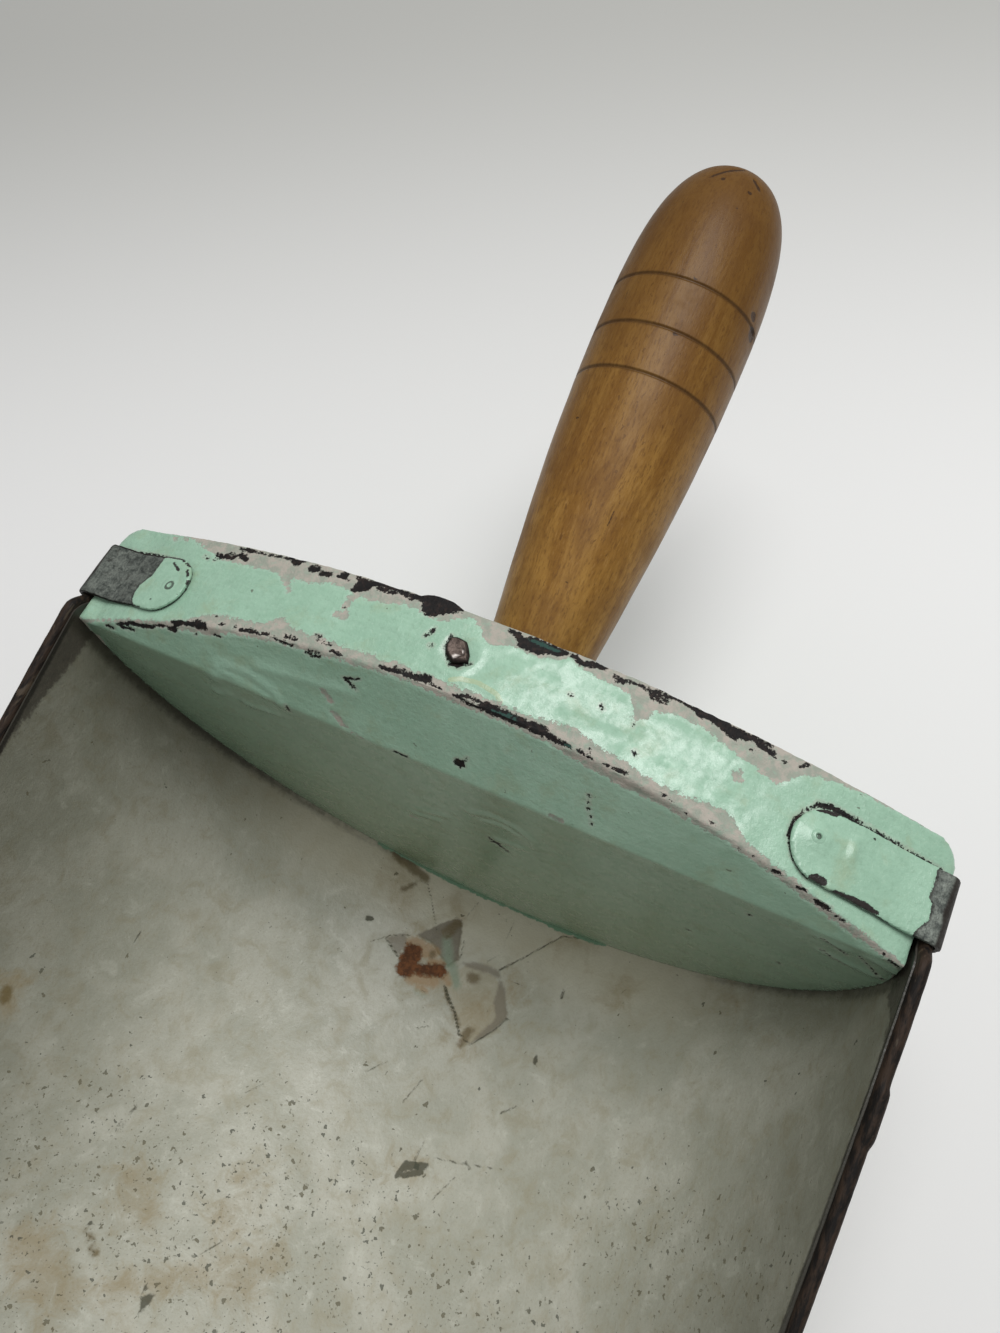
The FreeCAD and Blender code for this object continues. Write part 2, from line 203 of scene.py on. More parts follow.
def points_of(piece):
    """The piece's vertices as rows of x, y and z."""
    return rows_of(piece.data.vertices, "co")


def normals_of(piece):
    """The piece's vertex normals as rows of x, y and z."""
    return rows_of(piece.data.vertex_normals, "vector")


def move_points(piece, points):
    piece.data.vertices.foreach_set("co", points.ravel())
    piece.data.update()


def push_out(piece, amount):
    """Push every point along its normal, each by its own amount."""
    move_points(piece, points_of(piece) + normals_of(piece) * amount[:, None])


def store(piece, **numbers):
    """Keep numbers per vertex, which a material can read by name."""
    for name, values in numbers.items():
        layer = piece.data.attributes.new(name, "FLOAT", "POINT")
        layer.data.foreach_set("value", np.asarray(values, float))


def rough(points, size, seed=0.0):
    """Smooth noise from -1 to 1 at each point, with bumps about size wide."""
    shift = Vector((seed, 2 * seed, -seed))
    return np.array([noise.noise(Vector(p) / size + shift) for p in points])


def finish(piece, node, material, smooth_angle=40):
    """Shrink a piece to metres on the frame, smooth it and let it replace its node."""
    piece.data.materials.clear()
    piece.data.materials.append(material)
    piece.data.transform(Matrix.Translation(crease) @ Matrix.Scale(MM, 4))
    only(piece)
    bpy.ops.object.shade_smooth_by_angle(angle=math.radians(smooth_angle))
    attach(piece, "root")
    if node:
        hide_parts(node)
    piece.data.calc_loop_triangles()
    print(piece.name, "triangles:", len(piece.data.loop_triangles))


print("modelling helpers are ready")

# %% [markdown]
# Paint that has chipped is a matter of places: this one flake here, that long
# scar there. `scars` turns a list of strokes into one number per point: how deep
# inside the nearest stroke the point lies. A stroke is a line of spots, and each
# spot has two coordinates and a radius, all in millimetres. The number is stored
# on the mesh, so the same chips can sink the surface and colour it.

# %% Strokes to distances
FAR_OUTSIDE = -50.0


def along_line(u, v, u0, v0, u1, v1):
    """How far along a line, 0 to 1, and how far away from it each point is."""
    du, dv = u1 - u0, v1 - v0
    along = ((u - u0) * du + (v - v0) * dv) / max(du * du + dv * dv, 1e-9)
    along = np.clip(along, 0.0, 1.0)
    return along, np.hypot(u - u0 - along * du, v - v0 - along * dv)


def scars(u, v, strokes):
    """How far inside the nearest stroke each point is, negative outside."""
    depth = np.full(len(u), FAR_OUTSIDE)
    for stroke in strokes:
        spots = [stroke[i:i + 3] for i in range(0, len(stroke), 3)]
        for (u0, v0, r0), (u1, v1, r1) in zip(spots, spots[1:]):
            along, away = along_line(u, v, u0, v0, u1, v1)
            depth = np.maximum(depth, r0 + (r1 - r0) * along - away)
    return depth


def inside_outline(u, v, corners):
    """How far inside a closed outline each point is, negative outside."""
    away = np.full(len(u), 1e9)
    inside = np.zeros(len(u), bool)
    for (u0, v0), (u1, v1) in zip(corners, corners[1:] + corners[:1]):
        away = np.minimum(away, along_line(u, v, u0, v0, u1, v1)[1])
        crossed = (v0 > v) != (v1 > v)
        inside ^= crossed & (u < u0 + (v - v0) / ((v1 - v0) or 1e-9) * (u1 - u0))
    return np.where(inside, away, -away)


def line_at(places, x):
    """Height at x of a line drawn through a few places."""
    xs, ys = zip(*places)
    return np.interp(x, xs, ys)


def step(value, low, high):
    """Smooth step from 0 at low to 1 at high."""
    t = np.clip((value - low) / (high - low), 0.0, 1.0)
    return t * t * (3 - 2 * t)


def hill(offset, width):
    """1 in the middle, falling off smoothly to either side."""
    return np.exp(-np.square(offset / width))


def bezier(poles, steps=200):
    """Points along a Bezier curve with four poles."""
    t = np.linspace(0, 1, steps)[:, None]
    weights = ((1 - t) ** 3, 3 * t * (1 - t) ** 2, 3 * t * t * (1 - t), t ** 3)
    return sum(w * np.array(p, float) for w, p in zip(weights, poles))


trial = scars(np.array([0.0, 5.0]), np.zeros(2), ((-1, 0, 0.5, 1, 0, 0.5),))
print("a trial stroke, inside and outside it:", trial)

# %% [markdown]
# Finishes are built from shader nodes. A `Wire` is a value that runs through the
# nodes: two wires, or a wire and a number, can be added, subtracted or multiplied
# like numbers. A `Tree` has the short words that draw: `put` adds a node and
# feeds it, `blend` lays one colour over another through a mask, `fade` turns a
# range of values into a mask. In every finish, `t` is its tree. `tone` lets
# colours be written as they are seen.
# Every finish reads its place in millimetres from the board's crease, so a
# pattern keeps its real size and stays where it was put.

# %% Node helpers
class Wire:
    """A value in a shader tree; in square brackets, another output of its node."""

    def __init__(self, tree, socket):
        self.tree, self.socket = tree, socket

    def __getitem__(self, output):
        return Wire(self.tree, self.socket.node.outputs[output])

    def __add__(self, other):
        return self.tree.maths("ADD", self, other)

    def __sub__(self, other):
        return self.tree.maths("SUBTRACT", self, other)

    def __rsub__(self, other):
        return self.tree.maths("SUBTRACT", other, self)

    def __mul__(self, other):
        return self.tree.maths("MULTIPLY", self, other)


class Tree:
    """A shader tree and the words that draw in it."""

    def __init__(self, tree):
        self.tree = tree

    def feed(self, node, feeds):
        """Give a node's inputs numbers, colours or wires."""
        for key, value in feeds.items():
            socket = node.inputs[key.replace("_", " ") if isinstance(key, str) else key]
            if isinstance(value, Wire):
                self.tree.links.new(value.socket, socket)
            else:
                socket.default_value = value

    def put(self, kind, feeds=None, **settings):
        """Add a node, set it and feed it; gives its first output."""
        node = self.tree.nodes.new("ShaderNode" + kind)
        for key, value in settings.items():
            setattr(node, key, value)
        self.feed(node, feeds or {})
        return Wire(self, node.outputs[0])

    def use(self, group, **feeds):
        """Place an effect."""
        return self.put("Group", feeds, node_tree=group)

    def maths(self, operation, a, b):
        return self.put("Math", {0: a, 1: b}, operation=operation)

    def most(self, first, *others):
        """The greatest of several values."""
        for other in others:
            first = self.maths("MAXIMUM", first, other)
        return first

    def mix(self, mask, under, over):
        """One value where the mask is 0 and another where it is 1."""
        return self.put("Mix", {0: mask, 2: under, 3: over})

    def blend(self, mask, under, over, how="MIX"):
        """Lay one colour over another where the mask is 1."""
        return self.put("Mix", {0: mask, 6: under, 7: over}, data_type="RGBA", blend_type=how)[2]

    def fade(self, value, low, high, at_low=0.0, at_high=1.0):
        """Map a value smoothly from between low and high to between two others."""
        feeds = {"Value": value, "From Min": low, "From Max": high}
        feeds.update({"To Min": at_low, "To Max": at_high})
        return self.put("MapRange", feeds, interpolation_type="SMOOTHSTEP")

    def mottle(self, place, scale, detail=3.0, roughness=0.55, distortion=0.0):
        """Noise from 0 to 1; scale is bumps per millimetre."""
        feeds = {"Vector": place, "Scale": scale, "Detail": detail}
        feeds.update(Roughness=roughness, Distortion=distortion)
        return self.put("TexNoise", feeds)

    def worn(self, name):
        """A number that was stored on the piece's points."""
        return self.put("Attribute", attribute_name=name)["Fac"]

    def place(self, origin=Vector((0, 0, 0)), tilt=0.0):
        """Place in millimetres from an origin in the board's axes, turned about X."""
        feeds = {"Vector": self.put("TexCoord")["Object"], "Location": crease + origin * MM}
        feeds.update(Rotation=(tilt, 0, 0), Scale=(MM, MM, MM))
        return self.put("Mapping", feeds, vector_type="TEXTURE")

    def stretched(self, place, x=1.0, y=1.0, z=1.0):
        """The same place with its axes squeezed, which draws a pattern out."""
        return self.put("Mapping", {"Vector": place, "Scale": (x, y, z)})

    def torn(self, place, name, fray, scale):
        """The frayed edge of something that was stored on the piece's points."""
        return self.use(frayed, Place=place, Depth=self.worn(name), Fray=fray, Scale=scale)

    def shade(self, height=None, **feeds):
        """Feed the Principled shader, and bump it by a height in millimetres."""
        if height is not None:
            feeds["Normal"] = self.put("Bump", {"Height": height, "Distance": MM, "Strength": 1.0})
        self.feed(self.shader, feeds)
        return self.material


def new_finish(name, **settings):
    """A new material's tree, with settings for its Principled shader."""
    material = bpy.data.materials.new(name)
    material.use_nodes = True
    t = Tree(material.node_tree)
    t.material, t.shader = material, material.node_tree.nodes["Principled BSDF"]
    t.feed(t.shader, settings)
    return t


def tone(red, green, blue):
    """A colour as it is seen, 0 to 255, as the light values a shader takes."""
    seen = np.array([red, green, blue]) / 255
    light = np.where(seen <= 0.04045, seen / 12.92, ((seen + 0.055) / 1.055) ** 2.4)
    return (*light.tolist(), 1.0)


print("a middle grey as light:", [round(v, 3) for v in tone(128, 128, 128)])

# %% [markdown]
# Seven effects come back in several finishes, so each is a node group with its
# own inputs: a frayed edge for chips, a soft edge for stains, specks, brush marks
# in thick paint, soft grime, the spangled grey of old zinc, and the green gloss
# itself, which the board, the strap and the nail heads share. Each is written as
# a function that draws from the group's inputs to its outputs.

# %% Effects: node groups
def effect(name, inputs, outputs):
    """Build a node group; its sockets are numbers unless a kind follows their name."""
    def build(draw):
        group = bpy.data.node_groups.new(name, "ShaderNodeTree")
        for way, sockets in (("INPUT", inputs), ("OUTPUT", outputs)):
            for socket in sockets.split():
                socket, _, kind = socket.partition(":")
                kind = "NodeSocket" + (kind or "Float")
                group.interface.new_socket(name=socket, in_out=way, socket_type=kind)
        t = Tree(group)
        source = group.nodes.new("NodeGroupInput").outputs
        drawn = draw(t, *(Wire(t, source[socket.partition(":")[0]]) for socket in inputs.split()))
        for wire, socket in zip(drawn, group.nodes.new("NodeGroupOutput").inputs):
            group.links.new(wire.socket, socket)
        return group
    return build


@effect("frayed_edge", "Place:Vector Depth Fray Scale", "Mask Lip")
def frayed(t, place, depth, fray, scale):
    depth = depth + (t.mottle(place, scale, 4.0, 0.78) - 0.5) * fray
    inside = t.fade(depth, -0.07, 0.07)
    return inside, t.fade(depth, -0.7, -0.15) * (1.0 - inside)


@effect("soft_edge", "Depth Ragged Fray Soft", "Mask")
def soft_edge(t, depth, ragged, fray, soft):
    depth = t.maths("DIVIDE", depth + (ragged - 0.5) * fray, soft)
    return [t.fade(depth, -1.0, 1.0)]


@effect("specks", "Place:Vector Scale Amount Size", "Mask")
def specks(t, place, scale, amount, size):
    wobble = t.put("TexNoise", {"Vector": place, "Scale": 1.1, "Detail": 1.0})["Color"]
    wobble = t.put("VectorMath", {0: wobble, "Scale": 1.7}, operation="SCALE")
    moved = t.put("VectorMath", {0: place, 1: wobble}, operation="ADD")
    cells = t.put("TexVoronoi", {"Vector": moved, "Scale": scale})
    chance = t.put("SeparateColor", {"Color": cells["Color"]})
    grown = size * t.fade(chance[1], 0.0, 1.0, 0.35, 1.0)
    spot = t.maths("LESS_THAN", cells["Distance"], grown)
    return [spot * t.maths("LESS_THAN", chance, amount)]


@effect("brush_marks", "Place:Vector", "Height Shade")
def brushed(t, place):
    hairs = t.mottle(t.stretched(place, 0.12), 1.1, 4.0, 0.6, 0.25)
    swells = t.mottle(place, 0.22, 2.0, 0.5, 0.4)
    return hairs * 0.35 + swells, t.fade(hairs, 0.35, 0.65)


@effect("grime", "Place:Vector Scale Low High", "Mask")
def grime(t, place, scale, low, high):
    return [t.fade(t.mottle(place, scale, 4.0, 0.65, 0.3), low, high)]


@effect("spangled_zinc", "Place:Vector Dark:Color Light:Color", "Colour:Color Roughness Height")
def spangled(t, place, dark, light):
    patches = t.mottle(place, 0.45, 4.0, 0.7, 0.5)
    grain = t.mottle(place, 2.2, 3.0, 0.7)
    both = patches * 0.6 + grain * 0.4
    colour = t.blend(t.fade(both, 0.34, 0.66), dark, light)
    return colour, t.fade(grain, 0.3, 0.7, 0.42, 0.68), both


@effect("green_gloss", "Place:Vector Mottled", "Colour:Color Roughness Height")
def green_gloss(t, place, mottled):
    brush = t.use(brushed, Place=place)
    broad = t.use(grime, Place=place, Scale=0.05, Low=0.35, High=0.7)
    dirt = t.use(grime, Place=place, Scale=0.16, Low=0.5, High=0.78)
    small = t.mottle(place, 0.9, 3.0, 0.75)
    pits = t.use(specks, Place=place, Scale=0.30, Amount=0.16, Size=0.11)
    green = t.blend(broad, tone(148, 184, 160), tone(160, 196, 172))
    for mask, over in (
        (brush["Shade"] * 0.35, tone(140, 176, 152)),
        (dirt * 0.6, tone(146, 164, 132)),
        (t.fade(small, 0.5, 0.75, 0.0, 0.3) * mottled, tone(118, 148, 124)),
        (t.fade(small, 0.46, 0.25, 0.0, 0.3) * mottled, tone(178, 206, 184)),
        (pits * 0.75, tone(92, 98, 84)),
    ):
        green = t.blend(mask, green, over)
    height = brush["Height"] + small * mottled * 2.2
    return green, t.fade(dirt, 0.0, 1.0, 0.27, 0.42), height


print("effects:", [group.name for group in bpy.data.node_groups])


# %% [markdown]
# The board is sawn from inch-thick wood as a half-round. Its front part is a
# little smaller, so that the sheet lies on it; the rest stands proud behind as a
# shoulder. The top edge is crowned, and above the crease the front is planed
# back. Two discs, a huge one for the crown and one straight cut give the form;
# a voxel remesh then makes it an even skin, like one thick coat of paint, that
# can carry chips. Its flat back is filled again and gets two rings of its own,
# and the front part is closed up to the sheet.

# %% Board: sizes
BOARD_RADIUS = 89.0
BOARD_THICKNESS = 25.4
CROWN_HEIGHT = 19.0
BEVEL_SLOPE = math.tan(math.radians(24.0))
SHOULDER_FRONT = 19.0
SHOULDER_ROUND = 4.6
SHEET_SHIFT = -0.7
TROUGH_HEIGHT = 0.912
CLOSED_RADIUS = 90.35
BACK_SWELL = 0.35
LEFT_SHOULDER_REACH = 2.0
CROWN_SIDES = 720
SKIN_CELL = 0.6
BACK_RINGS = (0.993, 0.96)
BACK_MIDDLE = (SHEET_SHIFT, BOARD_THICKNESS, -35)
CROWN_RADIUS = (BOARD_RADIUS ** 2 + CROWN_HEIGHT ** 2) / (2 * CROWN_HEIGHT)
CROWN_CENTRE = CROWN_HEIGHT - CROWN_RADIUS
CROWN_ENDS = 120.0


def crown(x):
    """Height of the crowned top above the crease."""
    return CROWN_CENTRE + np.sqrt(CROWN_RADIUS ** 2 - np.minimum(np.abs(x), CROWN_ENDS) ** 2)


def disc(name, radius, front, back, x=0.0, z=0.0, sides=256):
    """Round plate standing on edge, its flat sides facing front and back."""
    return start(
        bpy.ops.mesh.primitive_cylinder_add, name, vertices=sides, radius=radius,
        depth=back - front, location=(x, (front + back) / 2, z), rotation=(math.pi / 2, 0, 0),
    )


print("crown radius in mm:", round(CROWN_RADIUS, 1))

# %% Board: form
board = disc("board", BOARD_RADIUS, 0, SHOULDER_FRONT + 0.5)
shoulder = disc("shoulder", SHOULDER_RADIUS, SHOULDER_FRONT, BOARD_THICKNESS, SHEET_SHIFT)
pick(shoulder, lambda p: p.y > BOARD_THICKNESS - 0.01)
bpy.ops.mesh.bevel(offset=SHOULDER_ROUND, segments=10, affect="EDGES")
done()
combine(board, shoulder, "UNION")
crown_disc = disc("crown", CROWN_RADIUS, -5, 40, z=CROWN_CENTRE, sides=CROWN_SIDES)
combine(board, crown_disc, "INTERSECT")
edit(board)
bpy.ops.mesh.bisect(
    plane_co=(0, 0, 0), plane_no=(0, -1, BEVEL_SLOPE), clear_outer=True, use_fill=True
)
done()
apply_modifier(board, "REMESH", mode="VOXEL", voxel_size=SKIN_CELL)
apply_modifier(board, "SMOOTH", factor=0.5, iterations=4)
pick(board, lambda p: p.y > BOARD_THICKNESS - 0.02, "FACE")
bpy.ops.mesh.delete(type="FACE")
bpy.ops.mesh.select_mode(type="EDGE")
bpy.ops.mesh.select_non_manifold()
bpy.ops.mesh.edge_face_add()
bpy.ops.mesh.select_mode(type="FACE")
for share in BACK_RINGS:
    bpy.ops.mesh.inset(thickness=0.0)
    bpy.ops.transform.resize(value=(share, 1, share), center_override=BACK_MIDDLE)
done()
points = points_of(board)
x, y, z = points.T
points[:, 1] += BACK_SWELL * step(y, 21.0, 25.0)
points[:, 0] -= LEFT_SHOULDER_REACH * step(-x, 84.0, 92.0) * (y > SHOULDER_FRONT - 0.3)
to_sheet = np.hypot(x - SHEET_SHIFT, z - TROUGH_HEIGHT)
lower = np.where(x < 0, 1.0, step(-z, 2.0, 12.0)) * (y < SHOULDER_FRONT - 0.5)
on_edge = step(np.hypot(x, z), BOARD_RADIUS - 2.5, BOARD_RADIUS - 0.2) * lower
closed = 1 + on_edge * (CLOSED_RADIUS / np.maximum(to_sheet, 1.0) - 1)
points[:, 0] = SHEET_SHIFT + (x - SHEET_SHIFT) * closed
points[:, 2] = TROUGH_HEIGHT + (z - TROUGH_HEIGHT) * closed
move_points(board, points)
print("board skin:", len(board.data.vertices), "points")

# %% [markdown]
# Old gloss paint fails in two steps. Along the top's edges it has rubbed down to
# a pinkish primer, and where the board was knocked both coats have flaked off
# the dark wood. The worn line is drawn as a few heights along the board, and
# each flake as a short stroke. Places on the top are x and y; places along the
# front arris are x and the distance from it, behind it positive, down the bevel
# negative; places on the front are x and z.

# %% Board: where the paint is worn
BACK_WORN = (
    (-97, 26.5), (-80, 25.6), (-75, 25), (-70, 23.4), (-68, 22.5), (-62, 20.9), (-50, 21),
    (-45, 20.3), (-40, 20.8), (-35, 21.8), (-30, 21.5), (-25, 20.8), (-22, 21.3), (-18, 22.3),
    (-15, 22.4), (-13, 21.5), (-9, 21.8), (-6, 23.5), (-4, 24.5), (-2, 23.3), (0, 21.2), (2, 20.7),
    (4, 21.3), (6, 22.2), (9, 21.8), (12, 22), (15, 23.2), (16.3, 24.8), (18, 23.3), (22, 22.6),
    (27, 22.3), (29.5, 21.5), (30.5, 20), (31, 18.8), (32.5, 18.5), (33, 20), (34, 21), (36, 21.8),
    (39, 22.3), (43, 22.3), (46, 21.5), (50, 20.3), (55, 19.7), (58, 19.3), (59.5, 20), (61, 21.5),
    (62, 22.7), (64, 23.8), (68, 24.6), (72, 25), (80, 25.4), (95, 26),
)
WORN_BEHIND = (
    (-80, 0.3), (-70, 0.2), (-63, 0.5), (-58, 2.5), (-55, 3.2), (-50, 2.62), (-43, 2.94),
    (-40, 4.68), (-37, 3.44), (-33, 2.35), (-30.5, 3.49), (-27, 2.28), (-15, 1.76), (-13, 2.51),
    (-10, 1.64), (10, 2.14), (14, 1.93), (18, 3.17), (23, 3.78), (25, 3.17), (28, 2.64),
    (32, 2.59), (35, 2.39), (37, 1.64), (41, 2.07), (46, 2.82), (50, 3.72), (52, 4.24),
    (53.5, 3.81), (55, 2.68), (56, 1.79), (58, 1.24), (60, 0.79), (65, 0.75), (70, 0.18),
    (75, 0.06), (80, 0.3), (86, 0.3),
)
WORN_BELOW = (
    (-84, 0.4), (-70, 1.2), (-60, 2), (-55, 2.2), (-50, 1.08), (-45, 1.08), (-38, 0.96),
    (-30, 1.28), (-22, 1.2), (-15, 1.15), (-8, 0.74), (0, 1.81), (10, 1.68), (15, 1.65),
    (22, 1.93), (26, 2.31), (32, 2.73), (36, 2.63), (46, 1.58), (50, 1.57), (55, 1.26), (60, 1.5),
    (65, 1.66), (70, 1.87), (75, 2.01), (80, 1.83), (88, 0.6),
)
WORN_SPOTS = (
    (-29.8, 16, 0.8, -28.2, 16.2, 1), (-29, 18.6, 0.7, -28.6, 21, 0.9),
    (-45.5, 21, 1.1, -42.8, 17.8, 0.4), (51.3, 17, 0.8, 51.9, 16.6, 0.8),
    (-80.5, 24.2, 0.4, -76, 24.6, 0.6), (31.5, 18.6, 0.8, 32.5, 20, 1.2),
    (55, 19.8, 0.6, 58.5, 19.6, 0.8), (-42, 9.6, 0.8, -40, 11.2, 0.5),
)
BACK_FLAKES = (
    (-65.3, 22.3, 0.35, -63.5, 21.8, 0.5), (-63.5, 22, 0.38, -60.5, 22.3, 0.6),
    (-62, 23, 0.3, -60, 22.6, 0.3), (-59.3, 23.2, 0.5, -57, 22.4, 0.55),
    (-58.6, 25, 0.45, -57.3, 24.7, 0.5), (-60.3, 24.8, 0.35, -59.6, 24.7, 0.35),
    (-57, 24.8, 0.28, -50, 24.9, 0.22), (-50, 24.9, 0.25, -46.3, 25.2, 0.25),
    (-68, 21, 0.2, -66.5, 20.8, 0.16), (-64.8, 20.8, 0.25, -64.6, 20.8, 0.2),
    (-48, 25.1, 0.35, -43.5, 25.3, 0.35), (-46, 24.7, 0.6, -44.5, 24.3, 0.55),
    (-40.8, 24, 0.72, -39.6, 24.2, 0.7), (-40.4, 24.9, 0.4, -39.8, 24.9, 0.4),
    (-38.3, 23.6, 0.5, -36.3, 23.9, 0.6), (-34, 24.1, 0.5, -32.8, 24.4, 0.7),
    (-33.5, 25, 0.3, -32.6, 25.2, 0.3), (-31.8, 23.8, 0.3, -31.6, 23.7, 0.25),
    (-30, 25, 0.5, -28.5, 24, 0.9), (-28.5, 24, 1.2, -28.9, 22.6, 0.8),
    (-28.5, 22.9, 0.9, -27, 23.3, 0.6), (-27.5, 24.4, 0.9, -25.5, 25, 0.6),
    (-29.5, 21.9, 0.35, -29.3, 21.9, 0.3), (-26, 25.2, 0.38, -20.5, 25.2, 0.35),
    (-24.6, 24.2, 0.46, -21.3, 24.2, 0.42), (-20.3, 24.9, 0.42, -16.5, 24.9, 0.5),
    (-18.5, 24.4, 0.36, -17, 24, 0.26), (-16, 25, 0.8, -13, 25, 1.4),
    (-13.5, 24.3, 1.4, -11, 24.6, 1.9), (-12, 25.8, 0.9, -9.5, 25.8, 0.9),
    (-11, 24.3, 1.5, -8.5, 24.9, 1), (-8.5, 25, 0.8, -6.8, 25.2, 0.35),
    (-13.6, 22.9, 0.6, -11.5, 22.6, 0.6), (-12.8, 22, 0.3, -12.6, 22, 0.28),
    (3.8, 24.8, 0.5, 5.5, 24.6, 0.5), (5.5, 24.3, 0.6, 7.5, 23.4, 0.9),
    (7.5, 23.6, 1.1, 10.5, 23.5, 1), (8, 24.7, 0.7, 14, 24.7, 0.7), (11, 23.9, 0.8, 14, 24.2, 0.6),
    (14, 24.4, 0.6, 15.3, 24.8, 0.45), (6.3, 22.7, 0.3, 10.5, 22.5, 0.26),
    (16.6, 24.9, 0.45, 18.3, 24.2, 0.6), (18.3, 24, 0.5, 20.5, 24.4, 0.4),
    (20.5, 24.8, 0.5, 22.5, 25, 0.56), (25, 24.2, 0.3, 27.5, 24.3, 0.3),
    (25.7, 23.7, 0.36, 27, 24, 0.4), (27.5, 24.5, 0.22, 33, 24.7, 0.26),
    (33, 24.6, 0.2, 36, 25, 0.2), (32.2, 23.9, 0.26, 33, 23.6, 0.4),
    (33, 23.6, 0.46, 35.3, 23.7, 0.3), (33, 25.2, 0.2, 40, 25.3, 0.25),
    (39.5, 25.1, 0.36, 42, 24.9, 0.6), (41.5, 24.5, 0.5, 42, 24.2, 0.4),
    (42, 25, 0.65, 46, 24.7, 0.95), (46, 24.5, 0.95, 48.5, 24, 1.1),
    (48.5, 24.1, 1, 50.5, 24.5, 0.85), (50.5, 24.8, 0.6, 55, 25.1, 0.4),
    (53, 24.1, 0.5, 55.8, 23.8, 0.5), (55.8, 23.6, 0.26, 56.5, 23.4, 0.2),
    (52.2, 22.4, 0.3, 52.4, 22.4, 0.28), (58.2, 23.3, 0.22, 58.4, 23.3, 0.2),
    (61, 23.9, 0.25, 62, 24.9, 0.3), (-10.6, 17.6, 0.3, -9.8, 19.3, 0.34),
    (-6, 17, 0.2, -6, 19.4, 0.3), (-5.9, 16.8, 0.3, -3.6, 14.1, 0.35),
    (-3.6, 14.1, 0.4, -0.4, 15.2, 0.25), (-2.2, 14, 0.3, -1.6, 13.8, 0.2),
    (-0.2, 15, 0.2, 0, 15.5, 0.2), (-8.9, 16.2, 0.26, -8.7, 16.2, 0.24),
    (25.2, 17.5, 0.36, 25.4, 17.3, 0.3), (19.2, 17.3, 0.2, 19.4, 17.3, 0.2),
    (33.7, 12.4, 0.22, 34.1, 11.8, 0.26), (31.7, 16.9, 0.2, 31.9, 16.9, 0.2),
    (-29.1, 17.8, 0.2, -28.8, 17.7, 0.2),
)
